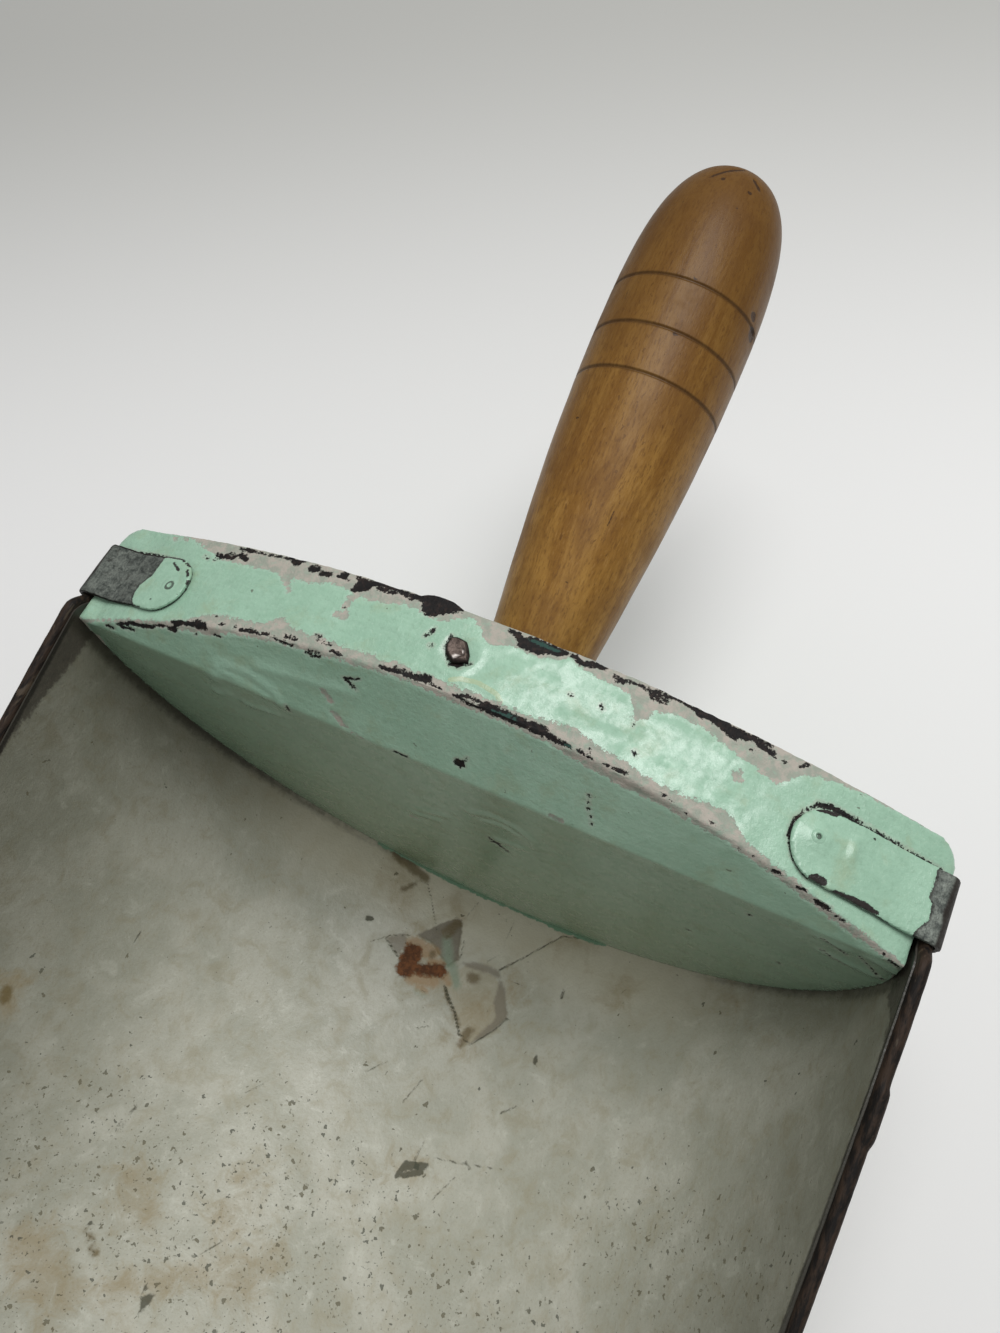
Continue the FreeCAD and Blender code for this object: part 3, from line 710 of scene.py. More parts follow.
ARRIS_FLAKES = (
    (-82.7, -1.4, 0.3, -81.2, -2.3, 0.25), (-80, -1.2, 0.25, -77.6, -2.2, 0.35, -75.2, -2.6, 0.25),
    (-77.6, -0.4, 0.2, -75.2, -0.7, 0.3), (-75.8, -0.9, 0.45, -72, -1.7, 0.45),
    (-72.4, -1.5, 0.45, -69.5, -1.7, 0.25), (-69.3, -1.2, 0.22, -66.4, -1.2, 0.22),
    (-65.5, -1.7, 0.35, -63.9, -2.1, 0.45), (-64.4, -1.6, 0.4, -62.7, -0.2, 0.5),
    (-63, 0.3, 0.45, -60, 0, 0.6), (-60.5, 0.3, 0.6, -57.6, -0.3, 1),
    (-59, 1, 0.35, -57.8, 0.9, 0.4), (-57.6, -0.4, 0.9, -55.9, -0.8, 0.35),
    (-58.7, -2.5, 0.2, -58.5, -2.6, 0.2), (-54.9, 2.8, 0.15, -54.8, 2.8, 0.15),
    (-53.8, -2, 0.16, -52.1, -2.1, 0.16), (-52.8, 1.1, 0.28, -52.2, 1.2, 0.25),
    (-49.6, 1.1, 0.22, -49.2, 1, 0.2), (-47.6, 0.5, 0.38, -46.4, 0.6, 0.32),
    (-46, 0.8, 0.42, -44.4, 0.6, 0.36), (-44.2, 0.6, 0.18, -42, 0.6, 0.18),
    (-42, 0.9, 0.38, -41, 0.7, 0.32), (-40.2, 0.5, 0.28, -39.3, 0.2, 0.25),
    (-39, 0.1, 0.18, -37.6, -0.3, 0.18), (-38.1, -0.3, 0.32, -35, -0.8, 0.3),
    (-37.2, 1.2, 0.36, -34.8, 1, 0.32), (-31.5, 2.8, 0.16, -30.2, 3, 0.14),
    (-31.9, -1.5, 0.22, -30.4, -2, 0.22, -28.4, -1.6, 0.2), (-31.3, -1, 0.18, -28.8, -0.9, 0.16),
    (-31, 2.2, 0.14, -27, 1.7, 0.12), (-26.7, 0.7, 0.28, -24.2, 0.2, 0.32),
    (-15.8, 0.6, 0.32, -14, 0.3, 0.42), (-14, 0.4, 0.4, -11.8, 0.6, 0.35),
    (-13, 1.2, 0.3, -12.8, 1.3, 0.25), (-11.2, 1.6, 0.22, -10.6, 0.6, 0.28),
    (-10.6, 0.6, 0.5, -6, 0.8, 0.55), (-7, 1.5, 0.35, -5.8, 1.6, 0.32),
    (-5.8, 1.2, 0.25, -5.4, 0.6, 0.22), (-5, 0.6, 0.25, -2.5, 0.2, 0.2),
    (0, 0.1, 0.22, 1.5, 0.7, 0.25), (1.5, 0.8, 0.3, 6, 0.8, 0.3), (6, 1, 0.3, 10, 0.9, 0.35),
    (10, 0.8, 0.36, 14, 0.9, 0.36), (13, 1.1, 0.22, 18, 1.2, 0.32),
    (-0.1, -0.2, 0.25, 2.8, -0.7, 0.26, 7.8, -0.9, 0.26), (6.8, -0.6, 0.42, 13.9, -0.5, 0.48),
    (14, 0.3, 0.25, 17, 0.6, 0.3), (14.9, -0.3, 0.5, 20, -0.1, 0.7), (17, 0.4, 0.7, 20, 0.1, 0.62),
    (20, -0.1, 0.66, 23, 0, 0.5), (24.8, 0.2, 0.32, 27.5, -0.1, 0.22),
    (25, 0.6, 0.2, 25.2, 0.6, 0.2), (29.8, 0.2, 0.26, 31, 0.4, 0.26),
    (31.5, 0.3, 0.26, 33.8, 0.7, 0.36), (40.8, 0.6, 0.14, 43, 0.5, 0.14),
    (45.8, -0.6, 0.26, 46, -0.6, 0.24), (50.3, 1.3, 0.22, 51, 1.1, 0.2),
    (56.2, -0.8, 0.18, 56.4, -0.8, 0.16), (58.9, -0.4, 0.26, 59.2, -0.4, 0.24),
    (62.7, -0.9, 0.28, 64.1, -0.4, 0.42), (67.8, -0.6, 0.38, 69, 0, 0.28),
    (71.6, -0.8, 0.56, 73.8, -0.2, 0.52), (75, -0.6, 0.2, 75.1, -0.6, 0.2),
    (76.1, -0.8, 0.26, 77.1, -0.3, 0.26), (84.8, -0.7, 0.22, 84.9, -0.7, 0.2),
    (86.1, -1.3, 0.36, 87.9, -1.4, 0.5), (-23.2, -5.4, 0.32, -20.5, -7.2, 0.2),
    (-23.2, -5.4, 0.3, -21, -4.7, 0.16), (-20.9, -4.8, 0.2, -19.8, -4.2, 0.12),
    (5.5, 0.2, 0.62, 14, 0.3, 0.62), (2, 0.1, -0.1, 5, 0.2, -0.1),
    (-79.2, -0.8, 0.3, -76.3, -1.2, 0.3), (26.5, 1.3, 0.15, 26.8, 1.3, 0.15),
    (-60, 0.2, 0.6, -58, 0.2, 0.7), (54.8, -0.6, 0.15, 55, -0.6, 0.15),
    (58, -0.1, 0.15, 58.2, 0, 0.15), (-61, 0.1, 0.8, -57, 0.1, 0.9),
    (-64.6, 0.2, 0.5, -62.5, -0.3, 0.6),
)
FRONT_NICKS = (
    (2.2, 4, 0.85, 2.8, 4, 0.75), (3.2, 4.8, 0.2, 4, 6, 0.15), (28.5, 9, 0.3, 28.6, 8.8, 0.25),
    (28.7, 7.5, 0.2, 28.8, 7.2, 0.2), (29, 6, 0.25, 29.1, 5.7, 0.2),
    (29.5, 4.5, 0.2, 29.6, 4.2, 0.2), (30, 3, 0.25, 30.1, 2.7, 0.2),
    (-37, 0, 0.25, -37, -2.6, 0.2), (-12, 0, 0.2, -9, 0, 0.25),
    (5.5, -31, 0.35, 7.5, -33, 0.4, 10, -35.5, 0.3), (6, -33.8, 0.2, 8.4, -31.8, 0.25),
    (62, -7, 0.3, 62.2, -7, 0.3), (52, -35, 0.35, 52.6, -35, 0.3),
    (71, -30, 0.3, 71.4, -30.2, 0.25), (75, -2, 0.15, 80, -6, 0.2), (82, -4, 0.15, 88, -12, 0.2),
    (76, -9, 0.12, 81, -12, 0.15),
)
FRONT_RUBS = (
    (-28, 8, 0.5, -26.5, 6, 0.7), (-25.5, 3.2, 0.8, -22, 0.6, 0.3),
    (-22, 0.6, 0.2, -18, -0.5, 0.1), (22, 0.6, 0.5, 24, 0.4, 0.5),
    (-16, -41, 0.4, -14, -41.4, 0.5),
)
STRAP_CRACKS = (
    (-96.2, 19.6, 0.3, -83.2, 18.9, 0.28, -71.2, 18.5, 0.2), (-65.8, 11.6, 0.28, -65.6, 8.6, 0.3),
    (-71.7, 18.3, 0.2, -69, 17.3, 0.24), (-68.8, 16.2, 0.26, -67.6, 14.8, 0.3),
    (-66.9, 13.8, 0.26, -66, 12, 0.22), (-65.8, 10.1, 0.2, -66.4, 7.3, 0.3),
    (-66.4, 7.3, 0.45, -68.7, 5.5, 0.42), (-68.7, 5.1, 0.28, -79.2, 4.8, 0.24),
    (-79.2, 4.9, 0.3, -96.2, 5.2, 0.42), (-73.8, 17.4, 0.26, -71.2, 15.8, 0.3),
    (69.1, 5.78, 0.55, 71.3, 6.08, 0.6), (69.9, 6.48, 0.4, 70.9, 6.48, 0.35),
    (73.4, 5.3, 0.5, 77, 5.9, 0.5), (77, 5.9, 0.55, 81.5, 5.9, 0.35),
    (78.9, 6.18, 0.35, 79.9, 5.98, 0.3), (79.9, 5.38, 0.3, 83.9, 5.18, 0.25),
    (83.9, 5.18, 0.28, 89.9, 4.78, 0.3), (66.2, 17.6, 0.3, 69.4, 18.5, 0.62),
    (68.5, 18.9, 0.4, 74, 19, 0.3), (76.9, 17.88, 0.15, 77.2, 17.78, 0.15),
    (-97, 18.7, 0.3, -77, 18.6, 0.3), (-97, 5.5, 0.3, -75, 5.4, 0.2),
    (-73.2, 7.6, 0.2, -73, 7.6, 0.2),
)
CRACKS_BY_STRAP = (
    (-97, 19.2, 0.3, -84, 19.1, 0.3, -74, 19, 0.25), (66, 19, 0.35, 68.5, 19.7, 0.5),
    (68.5, 19.7, 0.45, 74, 19.7, 0.4), (74, 19.7, 0.14, 80, 19.7, 0.2),
    (80, 19.7, 0.16, 90, 19.5, 0.22), (66, 18.6, 0.16, 64.4, 16.8, 0.14),
    (64.2, 16.2, 0.16, 63.2, 14, 0.24), (63.2, 13.6, 0.3, 63.2, 11, 0.28),
    (63.3, 11, 0.3, 65, 8.3, 0.24), (65, 8.2, 0.24, 68.4, 6, 0.3),
)
TEAL_STREAKS = (
    (7.5, 0.25, 0.35, 12.5, 0.25, 0.35), (11, 0.9, 0.5, 12, 0.6, 0.4), (1.8, 0, 0.2, 4.8, 0, 0.2),
)
TEAL_AT_BACK = ((8, 24.6, 0.4, 13.5, 24.6, 0.4), (22, 8.2, 0.2, 24.5, 8.2, 0.2))
DULLED = (
    (3, 13, 1.6, 8, 19, 2), (19, 13.6, 1, 31, 14.6, 1.4), (31, 11, 1.2, 33, 17, 1.4),
    (24, 20.8, 0.8, 30, 20.4, 0.8), (34, 20.8, 1, 52, 20.5, 0.8), (51, 12, 1.6, 53, 18, 1.6),
    (38, 12.4, 1, 42, 13.4, 0.8), (12, 18, 1, 15, 19, 0.8), (46, 11, 0.6, 47, 14, 0.6),
)
DRIP = ((-2, 11, 0, 0, 12, 0, 3, 12.5, 0, 7, 11.8, 0, 8.5, 10.7, 0),)
# Painted highlights along brush sweeps on the front, in x and z.
BRIGHT_SWEEPS = (
    (-56, -2, 0.5, -53, 3, 0.8, -46, 4.5, 0.6, -41, 3, 0.5), (-57, -9, 1, -54, -8, 0.8),
    (-50, -9, 0.4, -44, -8, 0.6), (-42, 7, -0.75, -22, 10, -0.75), (74, -2, 0.2, 79, -3, 0),
    (76, -10, 0, 86, -11, 0.1), (84, -2, 0.2, 88, -4, 0),
)
SWEEPS = (
    (-58, -10, 0, -54, -7, 0), (-56, -2, 0, -52, 4, 0, -46, 4.5, 0, -40, 2.5, 0, -38.4, -1, 0),
    (-50, -9, 0, -42, -7.5, 0), (-54, 2.4, 0, -42, 0.5, 0), (-44, 7, 0, -22, 10, 0),
    (74, -2, 0, 79, -3, 0), (76, -10, 0, 86, -11, 0), (84, -2, 0, 88, -4, 0),
    (-12, -33, 0, -5, -29, 0), (-14, -37, 0, -8, -35, 0),
    (3, -18, 0, 8, -14.5, 0, 13, -15, 0, 17, -19, 0, 17.5, -24, 0), (14, -28, 0, 8, -29.5, 0),
    (6, -20, 0, 10, -18, 0, 14, -20, 0),
)
BULGE_AT_BACK = ((-12.8, 25.6, 1.0, -9.8, 25.6, 0.8),)
print("flakes drawn:", len(BACK_FLAKES) + len(ARRIS_FLAKES) + len(FRONT_NICKS))

# %% [markdown]
# The strokes become numbers on the board's points, and the same numbers move the
# skin: primer lies one coat lower and bare wood two. Thick paint also stands up
# as a ring round the handle's nail, as a drip and as brush ridges on the front.
# Numbers for one face are sunk everywhere else, so that they don't show there.
# The back is one big face, which would smear them, so there they fall off fast.

# %% Board: wear and thick paint
NAIL_X, NAIL_Y = -3.3, 16.6
RING_RADIUS = 4.3
PRIMER_STEP = 0.14
WOOD_STEP = 0.24
BULGE = 1.15
BACK_FACE = BOARD_THICKNESS - 0.2
ELSEWHERE = -30.0


def along_arris(points):
    """Distance from the front arris: behind it positive, down the front negative."""
    x, y, z = points.T
    height = np.maximum(crown(x), 0.0)
    lean = math.cos(math.atan(BEVEL_SLOPE))
    down = np.where(z > 0, -(height - z) / lean, -height / lean + z)
    return np.where(y > BEVEL_SLOPE * height - 0.05, y - BEVEL_SLOPE * height, down)


def ridge(strokes, height, width):
    """A rounded ridge along strokes drawn with no width."""
    return height * hill(np.minimum(strokes, 0.0), width)


points = points_of(board)
x, y, z = points.T
v = along_arris(points)
on_top = np.where(z > crown(x) - 2.5, 0.0, ELSEWHERE)
on_front = np.where((y < 9) & (v < -1.5), 0.0, ELSEWHERE)
fall_off = np.where(y > BACK_FACE, 4.0, (y > 12) * 1.0)
under_crown = np.maximum(crown(x) - z - 1.4, 0.0) * fall_off
primer = np.maximum.reduce([
    y - line_at(BACK_WORN, x) - 0.8 * under_crown,
    np.minimum(line_at(WORN_BEHIND, x) - v, v + line_at(WORN_BELOW, x)),
    scars(x, y, WORN_SPOTS) + on_top,
    scars(x, z, FRONT_RUBS) + on_front,
])
flakes = np.maximum.reduce([
    scars(x, y, BACK_FLAKES) - 0.9 * under_crown,
    scars(x, v, ARRIS_FLAKES),
    scars(x, y, CRACKS_BY_STRAP) + on_top,
    scars(x, z, FRONT_NICKS) + on_front,
])
flakes = np.where((y > 10) & (z < crown(x) - 6), FAR_OUTSIDE, flakes)

ring = np.hypot(x - NAIL_X, y - NAIL_Y)
ring_side = 0.6 + 0.4 * np.cos(np.arctan2(y - NAIL_Y, x - NAIL_X) + 0.9)
thick = 0.30 * hill(ring - RING_RADIUS, 0.75) * ring_side - 0.12 * step(3.6 - ring, 0, 1)
thick = thick + ridge(scars(x, y, DRIP), 0.22, 0.6)
thick = thick + 0.12 * rough(points, 9.0, 1) + 0.11 * rough(points, 3.6, 2)
thick = thick + step(x, 6, 14) * step(-x, -60, -52) * 0.10 * rough(points, 1.7, 4)
strokes = ridge(scars(x, z, SWEEPS), 0.30, 1.3) + 0.08 * rough(points, 6.0, 7)
thick = thick * (on_top == 0) + strokes * ((on_front == 0) & (z > -60))
coats = thick - PRIMER_STEP * step(primer, -0.25, 0.25) - WOOD_STEP * step(flakes, -0.2, 0.25)
coats = coats + (flakes > 0) * 0.12 * rough(points, 1.0, 6)
proud = BULGE * step(scars(x, y, BULGE_AT_BACK), -3.0, 0.4)
proud = proud * step(y, 23.0, 25.2) * step(z - crown(x), -2.3, -1.0)
move_points(board, points + normals_of(board) * coats[:, None] + np.outer(proud, (0, 1, 0.1)))
store(
    board,
    primer=primer,
    flakes=flakes + 0.07,
    teal=np.maximum(scars(x, v, TEAL_STREAKS), scars(x, y, TEAL_AT_BACK) + on_top),
    swept=scars(x, z, BRIGHT_SWEEPS) + on_front,
    # front marks the front face: calmer paint there, and painted shade below the crease and
    # towards the right.
    front=(on_front == 0) * np.maximum(step(-z, -1.0, 1.0), 0.45 * step(x, 15, 50)),
    dulled=scars(x, y, DULLED),
    yellowed=scars(x, y, DRIP) + 0.5 + on_top,
)
print("points on bare wood:", int((flakes > 0).sum()), "on primer:", int((primer > 0).sum()))

# %% [markdown]
# The finish lays the coats over one another in the order they were put on: dark
# wood, pinkish primer, green gloss. Each upper coat is masked by the numbers on
# the points, and noise frays every edge, since paint never flakes along a clean
# line. The brush marks, the step down at each edge and the dirt come from nodes.
# On the front, painted shade darkens the paint below the crease and towards the
# right, darker and more olive near the bottom, and painted highlights lie along
# a few brush sweeps.

# %% Board: chipped paint
def primer_tone(t, place):
    mix = t.use(grime, Place=place, Scale=0.45, Low=0.38, High=0.62)
    pale = t.blend(mix, tone(150, 156, 143), tone(174, 167, 156))
    rubbed = t.use(grime, Place=place, Scale=0.8, Low=0.52, High=0.66)
    return t.blend(rubbed * 0.6, pale, tone(146, 168, 150))


def bare_wood(t, place):
    mix = t.use(grime, Place=place, Scale=1.1, Low=0.45, High=0.75)
    return t.blend(mix, tone(12, 9, 9), tone(46, 33, 28))


def board_finish():
    t = new_finish("chipped_green_gloss", Specular_IOR_Level=0.3, Coat_Roughness=0.2)
    place = t.place()
    front = t.worn("front")
    paint = t.use(green_gloss, Place=place, Mottled=t.fade(front, 0.0, 1.0, 1.0, 0.3))
    low = t.put("SeparateXYZ", {"Vector": place})["Z"]
    drip = t.torn(place, "yellowed", 0.4, 0.8)
    green = t.blend(drip * 0.45, paint["Colour"], tone(176, 178, 132))
    # Painted shade: the front below the crease, and the bevel towards the right, is darkened.
    green = t.blend(front, green, (0.70, 0.70, 0.66, 1.0), "MULTIPLY")
    # Painted highlights along a few brush sweeps on the front.
    green = t.blend(t.fade(t.worn("swept"), -2.6, 1.4, 0.0, 0.26), green, tone(172, 210, 190))
    # Painted shade with the pan's reflected colour: the front grows darker and more olive towards
    # the bottom.
    green = t.blend(t.fade(low, -8.0, -80.0, 0.0, 0.4), green, tone(128, 148, 116))
    rubbed = t.torn(place, "primer", 3.8, 0.75)
    flaked = t.torn(place, "flakes", 2.1, 1.3)
    teal = t.torn(place, "teal", 2.2, 1.1)
    colour = t.blend(rubbed["Lip"] * 0.35, green, tone(176, 206, 186))
    colour = t.blend(rubbed, colour, primer_tone(t, place))
    colour = t.blend(flaked["Lip"] * 0.3, colour, tone(178, 172, 162))
    colour = t.blend(flaked, colour, t.blend(teal, bare_wood(t, place), tone(38, 70, 62)))
    dull = t.most(rubbed, flaked)
    ragged = t.mottle(place, 0.5, 3.0, 0.7)
    hazy = t.use(soft_edge, Depth=t.worn("dulled"), Ragged=ragged, Fray=6.0, Soft=1.2)
    roughness = t.mix(dull, t.mix(hazy, paint["Roughness"], 0.5), 0.66)
    height = paint["Height"] * t.fade(front, 0.0, 1.0, 0.10, 0.05)
    height = height - rubbed * 0.10 - flaked * 0.18
    height = height + t.mottle(place, 2.5, 4.0, 0.7) * dull * 0.12
    patchy = t.fade(t.mottle(place, 0.4, 4.0, 0.75, 0.4), 0.38, 0.62, 0.35, 0.9)
    coat = (1.0 - t.most(dull, hazy)) * patchy
    return t.shade(height, Base_Color=colour, Roughness=roughness, Coat_Weight=coat)


finish(board, "back_board", board_finish())


# %% [markdown]
# The pan is one sheet bent to a U round the board. A drum with open ends gives
# the round bottom: its upper half is cut away, the cut edges are pulled straight
# up, the sides are sliced down towards the front by a sloping plane, and the
# front row is drawn out to the lip's curve. Behind the crease the strap has
# pressed both edges down a little. Solidify then gives the metal its thickness.
# Near the board, where the old paint has cracked, the mesh is finer.

# %% Pan: sizes
SHEET_INSIDE = 90.3
SHEET_THICKNESS = 0.5
SHEET_MIDDLE = SHEET_INSIDE + SHEET_THICKNESS / 2
SHEET_OUTSIDE = SHEET_INSIDE + SHEET_THICKNESS
SHEET_BACK = 18.9
PAN_LENGTH = 210.0
PAN_SIDES = 372
PAN_ROWS = 150
LIP_BULGE = 24.0
LIP_RADIUS = (SHEET_OUTSIDE ** 2 + LIP_BULGE ** 2) / (2 * LIP_BULGE)
RIM_HEIGHT = TROUGH_HEIGHT + 1.4
RIM_SLOPE = math.tan(math.radians(11.5))
HEM_RADIUS = 1.4
HEM_PLACE = SHEET_INSIDE + 0.2 + HEM_RADIUS
HEM_UNDER_STRAP = {-1: -0.6, 1: -0.9}


def dip(y, x):
    """How far the rims are pressed down at y, full under the strap."""
    left, right = (RIM_HEIGHT - HEM_UNDER_STRAP[side] for side in (-1, 1))
    return np.where(x < 0, left, right) * step(y, 1.0, 5.6)


def rim_at(y):
    """Height of the rims before the strap pressed them down."""
    return RIM_HEIGHT + RIM_SLOPE * np.minimum(y, 0.0)


def lip(x):
    """How far in front of the board the lip is at x."""
    return PAN_LENGTH - LIP_RADIUS + np.sqrt(LIP_RADIUS ** 2 - (x - SHEET_SHIFT) ** 2)


print("pan's rims fall", round(RIM_HEIGHT - float(rim_at(-PAN_LENGTH)), 1), "mm to the front")

# %% Pan: form
LONG_EDGE = 100
FINE_WIDTH, FINE_LENGTH = 34, 76
pan = start(
    bpy.ops.mesh.primitive_cylinder_add, "pan", vertices=PAN_SIDES, radius=SHEET_MIDDLE,
    depth=PAN_LENGTH + SHEET_BACK, end_fill_type="NOTHING", rotation=(math.pi / 2, 0, 0),
    location=(SHEET_SHIFT, (SHEET_BACK - PAN_LENGTH) / 2, TROUGH_HEIGHT),
)
edit(pan)
bpy.ops.mesh.bisect(plane_co=(0, 0, TROUGH_HEIGHT), plane_no=(0, 0, 1), clear_outer=True)
done()
pick(pan, lambda p: p.z > TROUGH_HEIGHT - 0.01)
bpy.ops.mesh.extrude_edges_move(
    TRANSFORM_OT_translate={"value": (0, 0, RIM_HEIGHT - TROUGH_HEIGHT)}
)
done()
for line in pan.data.edges:
    a, b = (pan.data.vertices[i].co for i in line.vertices)
    line.select = abs(a.y - b.y) > LONG_EDGE
edit(pan, "EDGE")
bpy.ops.mesh.subdivide(number_cuts=PAN_ROWS)
done()
points = points_of(pan)
drawn = (SHEET_BACK - points[:, 1]) / (SHEET_BACK + PAN_LENGTH)
points[:, 1] = SHEET_BACK - drawn * (SHEET_BACK + lip(points[:, 0]))
move_points(pan, points)
edit(pan)
bpy.ops.mesh.bisect(
    plane_co=(0, 0, RIM_HEIGHT), plane_no=(0, -RIM_SLOPE, 1), clear_outer=True
)
done()
points = points_of(pan)
points[:, 2] -= dip(points[:, 1], points[:, 0]) * step(points[:, 2], -14.0, RIM_HEIGHT)
move_points(pan, points)
apply_modifier(pan, "SOLIDIFY", thickness=SHEET_THICKNESS, offset=0.0, use_even_offset=True)
pick(
    pan,
    lambda p: abs(p.x) < FINE_WIDTH and -FINE_LENGTH < p.y < 1
    and math.hypot(p.x - SHEET_SHIFT, p.z - TROUGH_HEIGHT) < SHEET_MIDDLE - 0.1,
    "FACE",
)
bpy.ops.mesh.subdivide(number_cuts=2)
done()
print("pan:", len(pan.data.vertices), "points")

# %% [markdown]
# The pan's white paint has greyed and is scratched, stained and speckled where
# grit was swept over it. One old break in it shows the coats below: a grey-green
# undercoat, a browned patch with a dark edge, and two spots of rust. Places are
# the length along the curve from the bottom line, and y. The first five marks
# are outlines, the rest are strokes.

# %% Pan: where it is worn
UNDERCOAT = [
    (-4, -8), (-2.6, -11), (-1.2, -15), (0, -18), (-2, -20.6), (-5, -19), (-8, -17.2), (-13, -17),
    (-11, -14.5), (-9, -12), (-7, -9.8),
]
PATCH = [
    (0, -21), (3, -18), (7, -17), (12, -18.5), (16, -22.5), (18, -26), (15.5, -31), (12, -35.8),
    (10, -37.5), (8, -33.5), (4, -29), (0, -25.5),
]
GREY_EDGE = [
    (11.5, -17.5), (14.5, -20), (17.3, -24), (18.3, -26.3), (15.8, -31.5), (12.2, -35.8),
    (13.8, -31), (15.6, -27.5), (13.4, -24), (12.6, -20.5),
]
GREY_CORNER = [(-20, -21.3), (-16, -18), (-14.2, -20), (-15, -24)]
BROKEN_LIP = [
    (1.2, -18.4), (3.5, -17), (6.5, -16.2), (11, -16.2), (12.4, -17.8), (8, -18), (4, -18.6),
]
RUST = ((-11.9, -21.6, 2.6, -11.6, -26, 2.4), (-8.5, -24.6, 1.5, -3.4, -22.6, 1.9))
RUST_HALO = (
    (-12, -20, 2.6, -7, -19, 1.6), (-6, -21.5, 1.4, -4, -21, 1.2),
    (-9, -26.5, 2.4, -3.5, -25.6, 1.8), (-6.5, -28.6, 0.9, -4.5, -28.8, 0.9),
    (-1.2, -23.5, 1.2, 0.3, -24.4, 0.8),
)
OCHRE = (
    (-7, -19.3, 0.8, -6.8, -20, 0.7), (4.9, -20.7, 1.3, 6.2, -20.5, 1.3),
    (-4.5, -9.5, 1.2, -6, -13, 1.6), (-28, -0.4, 1.4, -25, -0.8, 1.6),
    (-24, -1, 1.5, -17.5, -2.6, 1), (-19.5, -5, 0.4, -22, -8, 0.6),
    (10.5, -33, 1.2, 10, -36.5, 0.8), (0.5, -26.6, 0.5, 7.5, -33, 0.5),
    (-97.2, -73.5, 1.6, -96.5, -75, 1.3), (-51, -110, 0.7, -46, -114, 0.9),
)
TEAL_UNDER = (
    (-5.6, -14, 1.2, -2, -20, 1.4), (-0.6, -20.4, 1.3, 2.4, -24, 1),
    (-6.4, -29.4, 0.6, -4.4, -29.6, 0.6),
)
CRACKS = (
    (-17, -3.2, 0.2, -14, -6.6, 0.16, -9.6, -12.4, 0.2), (-2, -2, 0.05, -3.5, -8, 0.05),
    (9, -3, 0.02, 9.5, -12, 0.06, 7, -15.5, 0.1),
    (11, -16, 0.26, 16, -10, 0.16, 20, -5, 0.2, 23, -1.5, 0.16, 27, -0.6, 0.3),
    (-23.2, -24, 0.05, -19, -20, 0.16), (-19, -20, 0.12, -14, -17.5, 0.16),
    (-20, -21.3, 0.2, -15, -24, 0.3), (-0.4, -25.5, 0.35, 2, -28, 0.45),
    (2, -28, 0.4, 5, -30.2, 0.3, 8.5, -34.6, 0.34), (8.5, -34.6, 0.26, 12.2, -35.8, 0.2),
    (12.2, -35.8, 0.16, 16, -30.8, 0.2), (16, -30.8, 0.16, 18.2, -26.6, 0.16),
    (18, -26.2, 0.2, 21, -26.8, 0.08), (12, -16.8, 0.1, 21, -17.6, 0.05),
    (-1, -13, 0.16, 0.2, -17.6, 0.16), (-26.6, -18.9, 0.7, -25.6, -18.6, 0.6),
    (29.2, -14.4, 0.35, 29.4, -16.2, 0.4), (29.4, -31.6, 0.4, 29.9, -33, 0.6),
    (-2, -37.8, 0.1, 0.6, -36, 0.1), (9.6, -70.2, 0.6, 10.4, -66.8, 0.8),
    (10.6, -67.2, 1, 15.2, -65, 0.6), (11, -69.4, 0.6, 14.6, -66.8, 0.8),
    (-76, -48, 0.25, -76.6, -53, 0.2), (-54, -80, 0.2, -54.8, -90, 0.16),
    (44.5, -5, 0.16, 45.5, -8, 0.2, 44.2, -10.5, 0.2, 46, -12.5, 0.1),
    (90, -11, 0.25, 91, -13.4, 0.2), (24, -60, 0.16, 25.5, -61.5, 0.16),
    (-30, -66, 0.12, -33, -70, 0.1), (36, -33, 0.1, 39.5, -36, 0.1),
    (-48, -58, 0.12, -46, -63, 0.1), (60, -90, 0.16, 64, -97, 0.12), (-5, -48, 0.1, -9, -53, 0.1),
    (-31, -117, 1.1, -30, -119.5, 0.9), (-32.4, -114.4, 0.7, -32, -115.2, 0.5),
    (-36, -113, 0.6, -36.2, -113, 0.6), (-39, -106, 0.6, -39, -106.4, 0.5),
    (-45, -104, 0.8, -45, -104.3, 0.7), (-50, -109, 0.6, -50.3, -109, 0.5),
    (-27, -104, 0.5, -27, -104.4, 0.5), (-57, -91, 0.14, -54, -81, 0.3),
    (-68, -86, 0.14, -65, -87, 0.1), (3, -55, 0.14, 5, -48, 0.1), (27, -47, 0.22, 30, -44, 0.14),
    (15, -63, 0.1, 23, -61, 0.2, 33, -58, 0.1), (-58, -110, 0.1, -51, -112, 0.16),
    (-62, -118, 0.3, -61, -115, 0.3), (-26, -108, 0.14, -17, -93, 0.18),
    (-31, -122, 0.12, -26, -109, 0.14), (-36, -118, 0.14, -33, -111, 0.12),
    (12, -67, 0.3, 12, -60, 0.1), (20, -71, 0.1, 23, -64, 0.1),
)
STAINS = (
    (-26, -2, 3.6, -20, -11, 2.6), (-13, -19, 3.4, -3, -26, 3.2), (43, -10, 1.6, 43.2, -11, 1.6),
    (-47, -99, 3.6, -43, -102, 4), (-22, -89, 2.4, -22, -98, 2.6),
    (-16, -104, 3.6, -14, -107, 3.6), (-97, -74, 3.2, -96.5, -76, 2.8),
    (-60, -118, 4.6, -48, -124, 4.6), (10, -28, 3.6, 11.5, -34, 2.6),
    (24, -2.4, 0.9, 33, -1.6, 1.2), (72, -4, 1.2, 78, -5, 1.2), (12, -68, 2.4, 13, -67, 2.4),
    (-40, -120, 1.5, -10, -100, 3), (-8, -4.5, 1, -5.5, -6, 0.8), (16, -17.5, 1.2, 19, -20, 1.2),
)
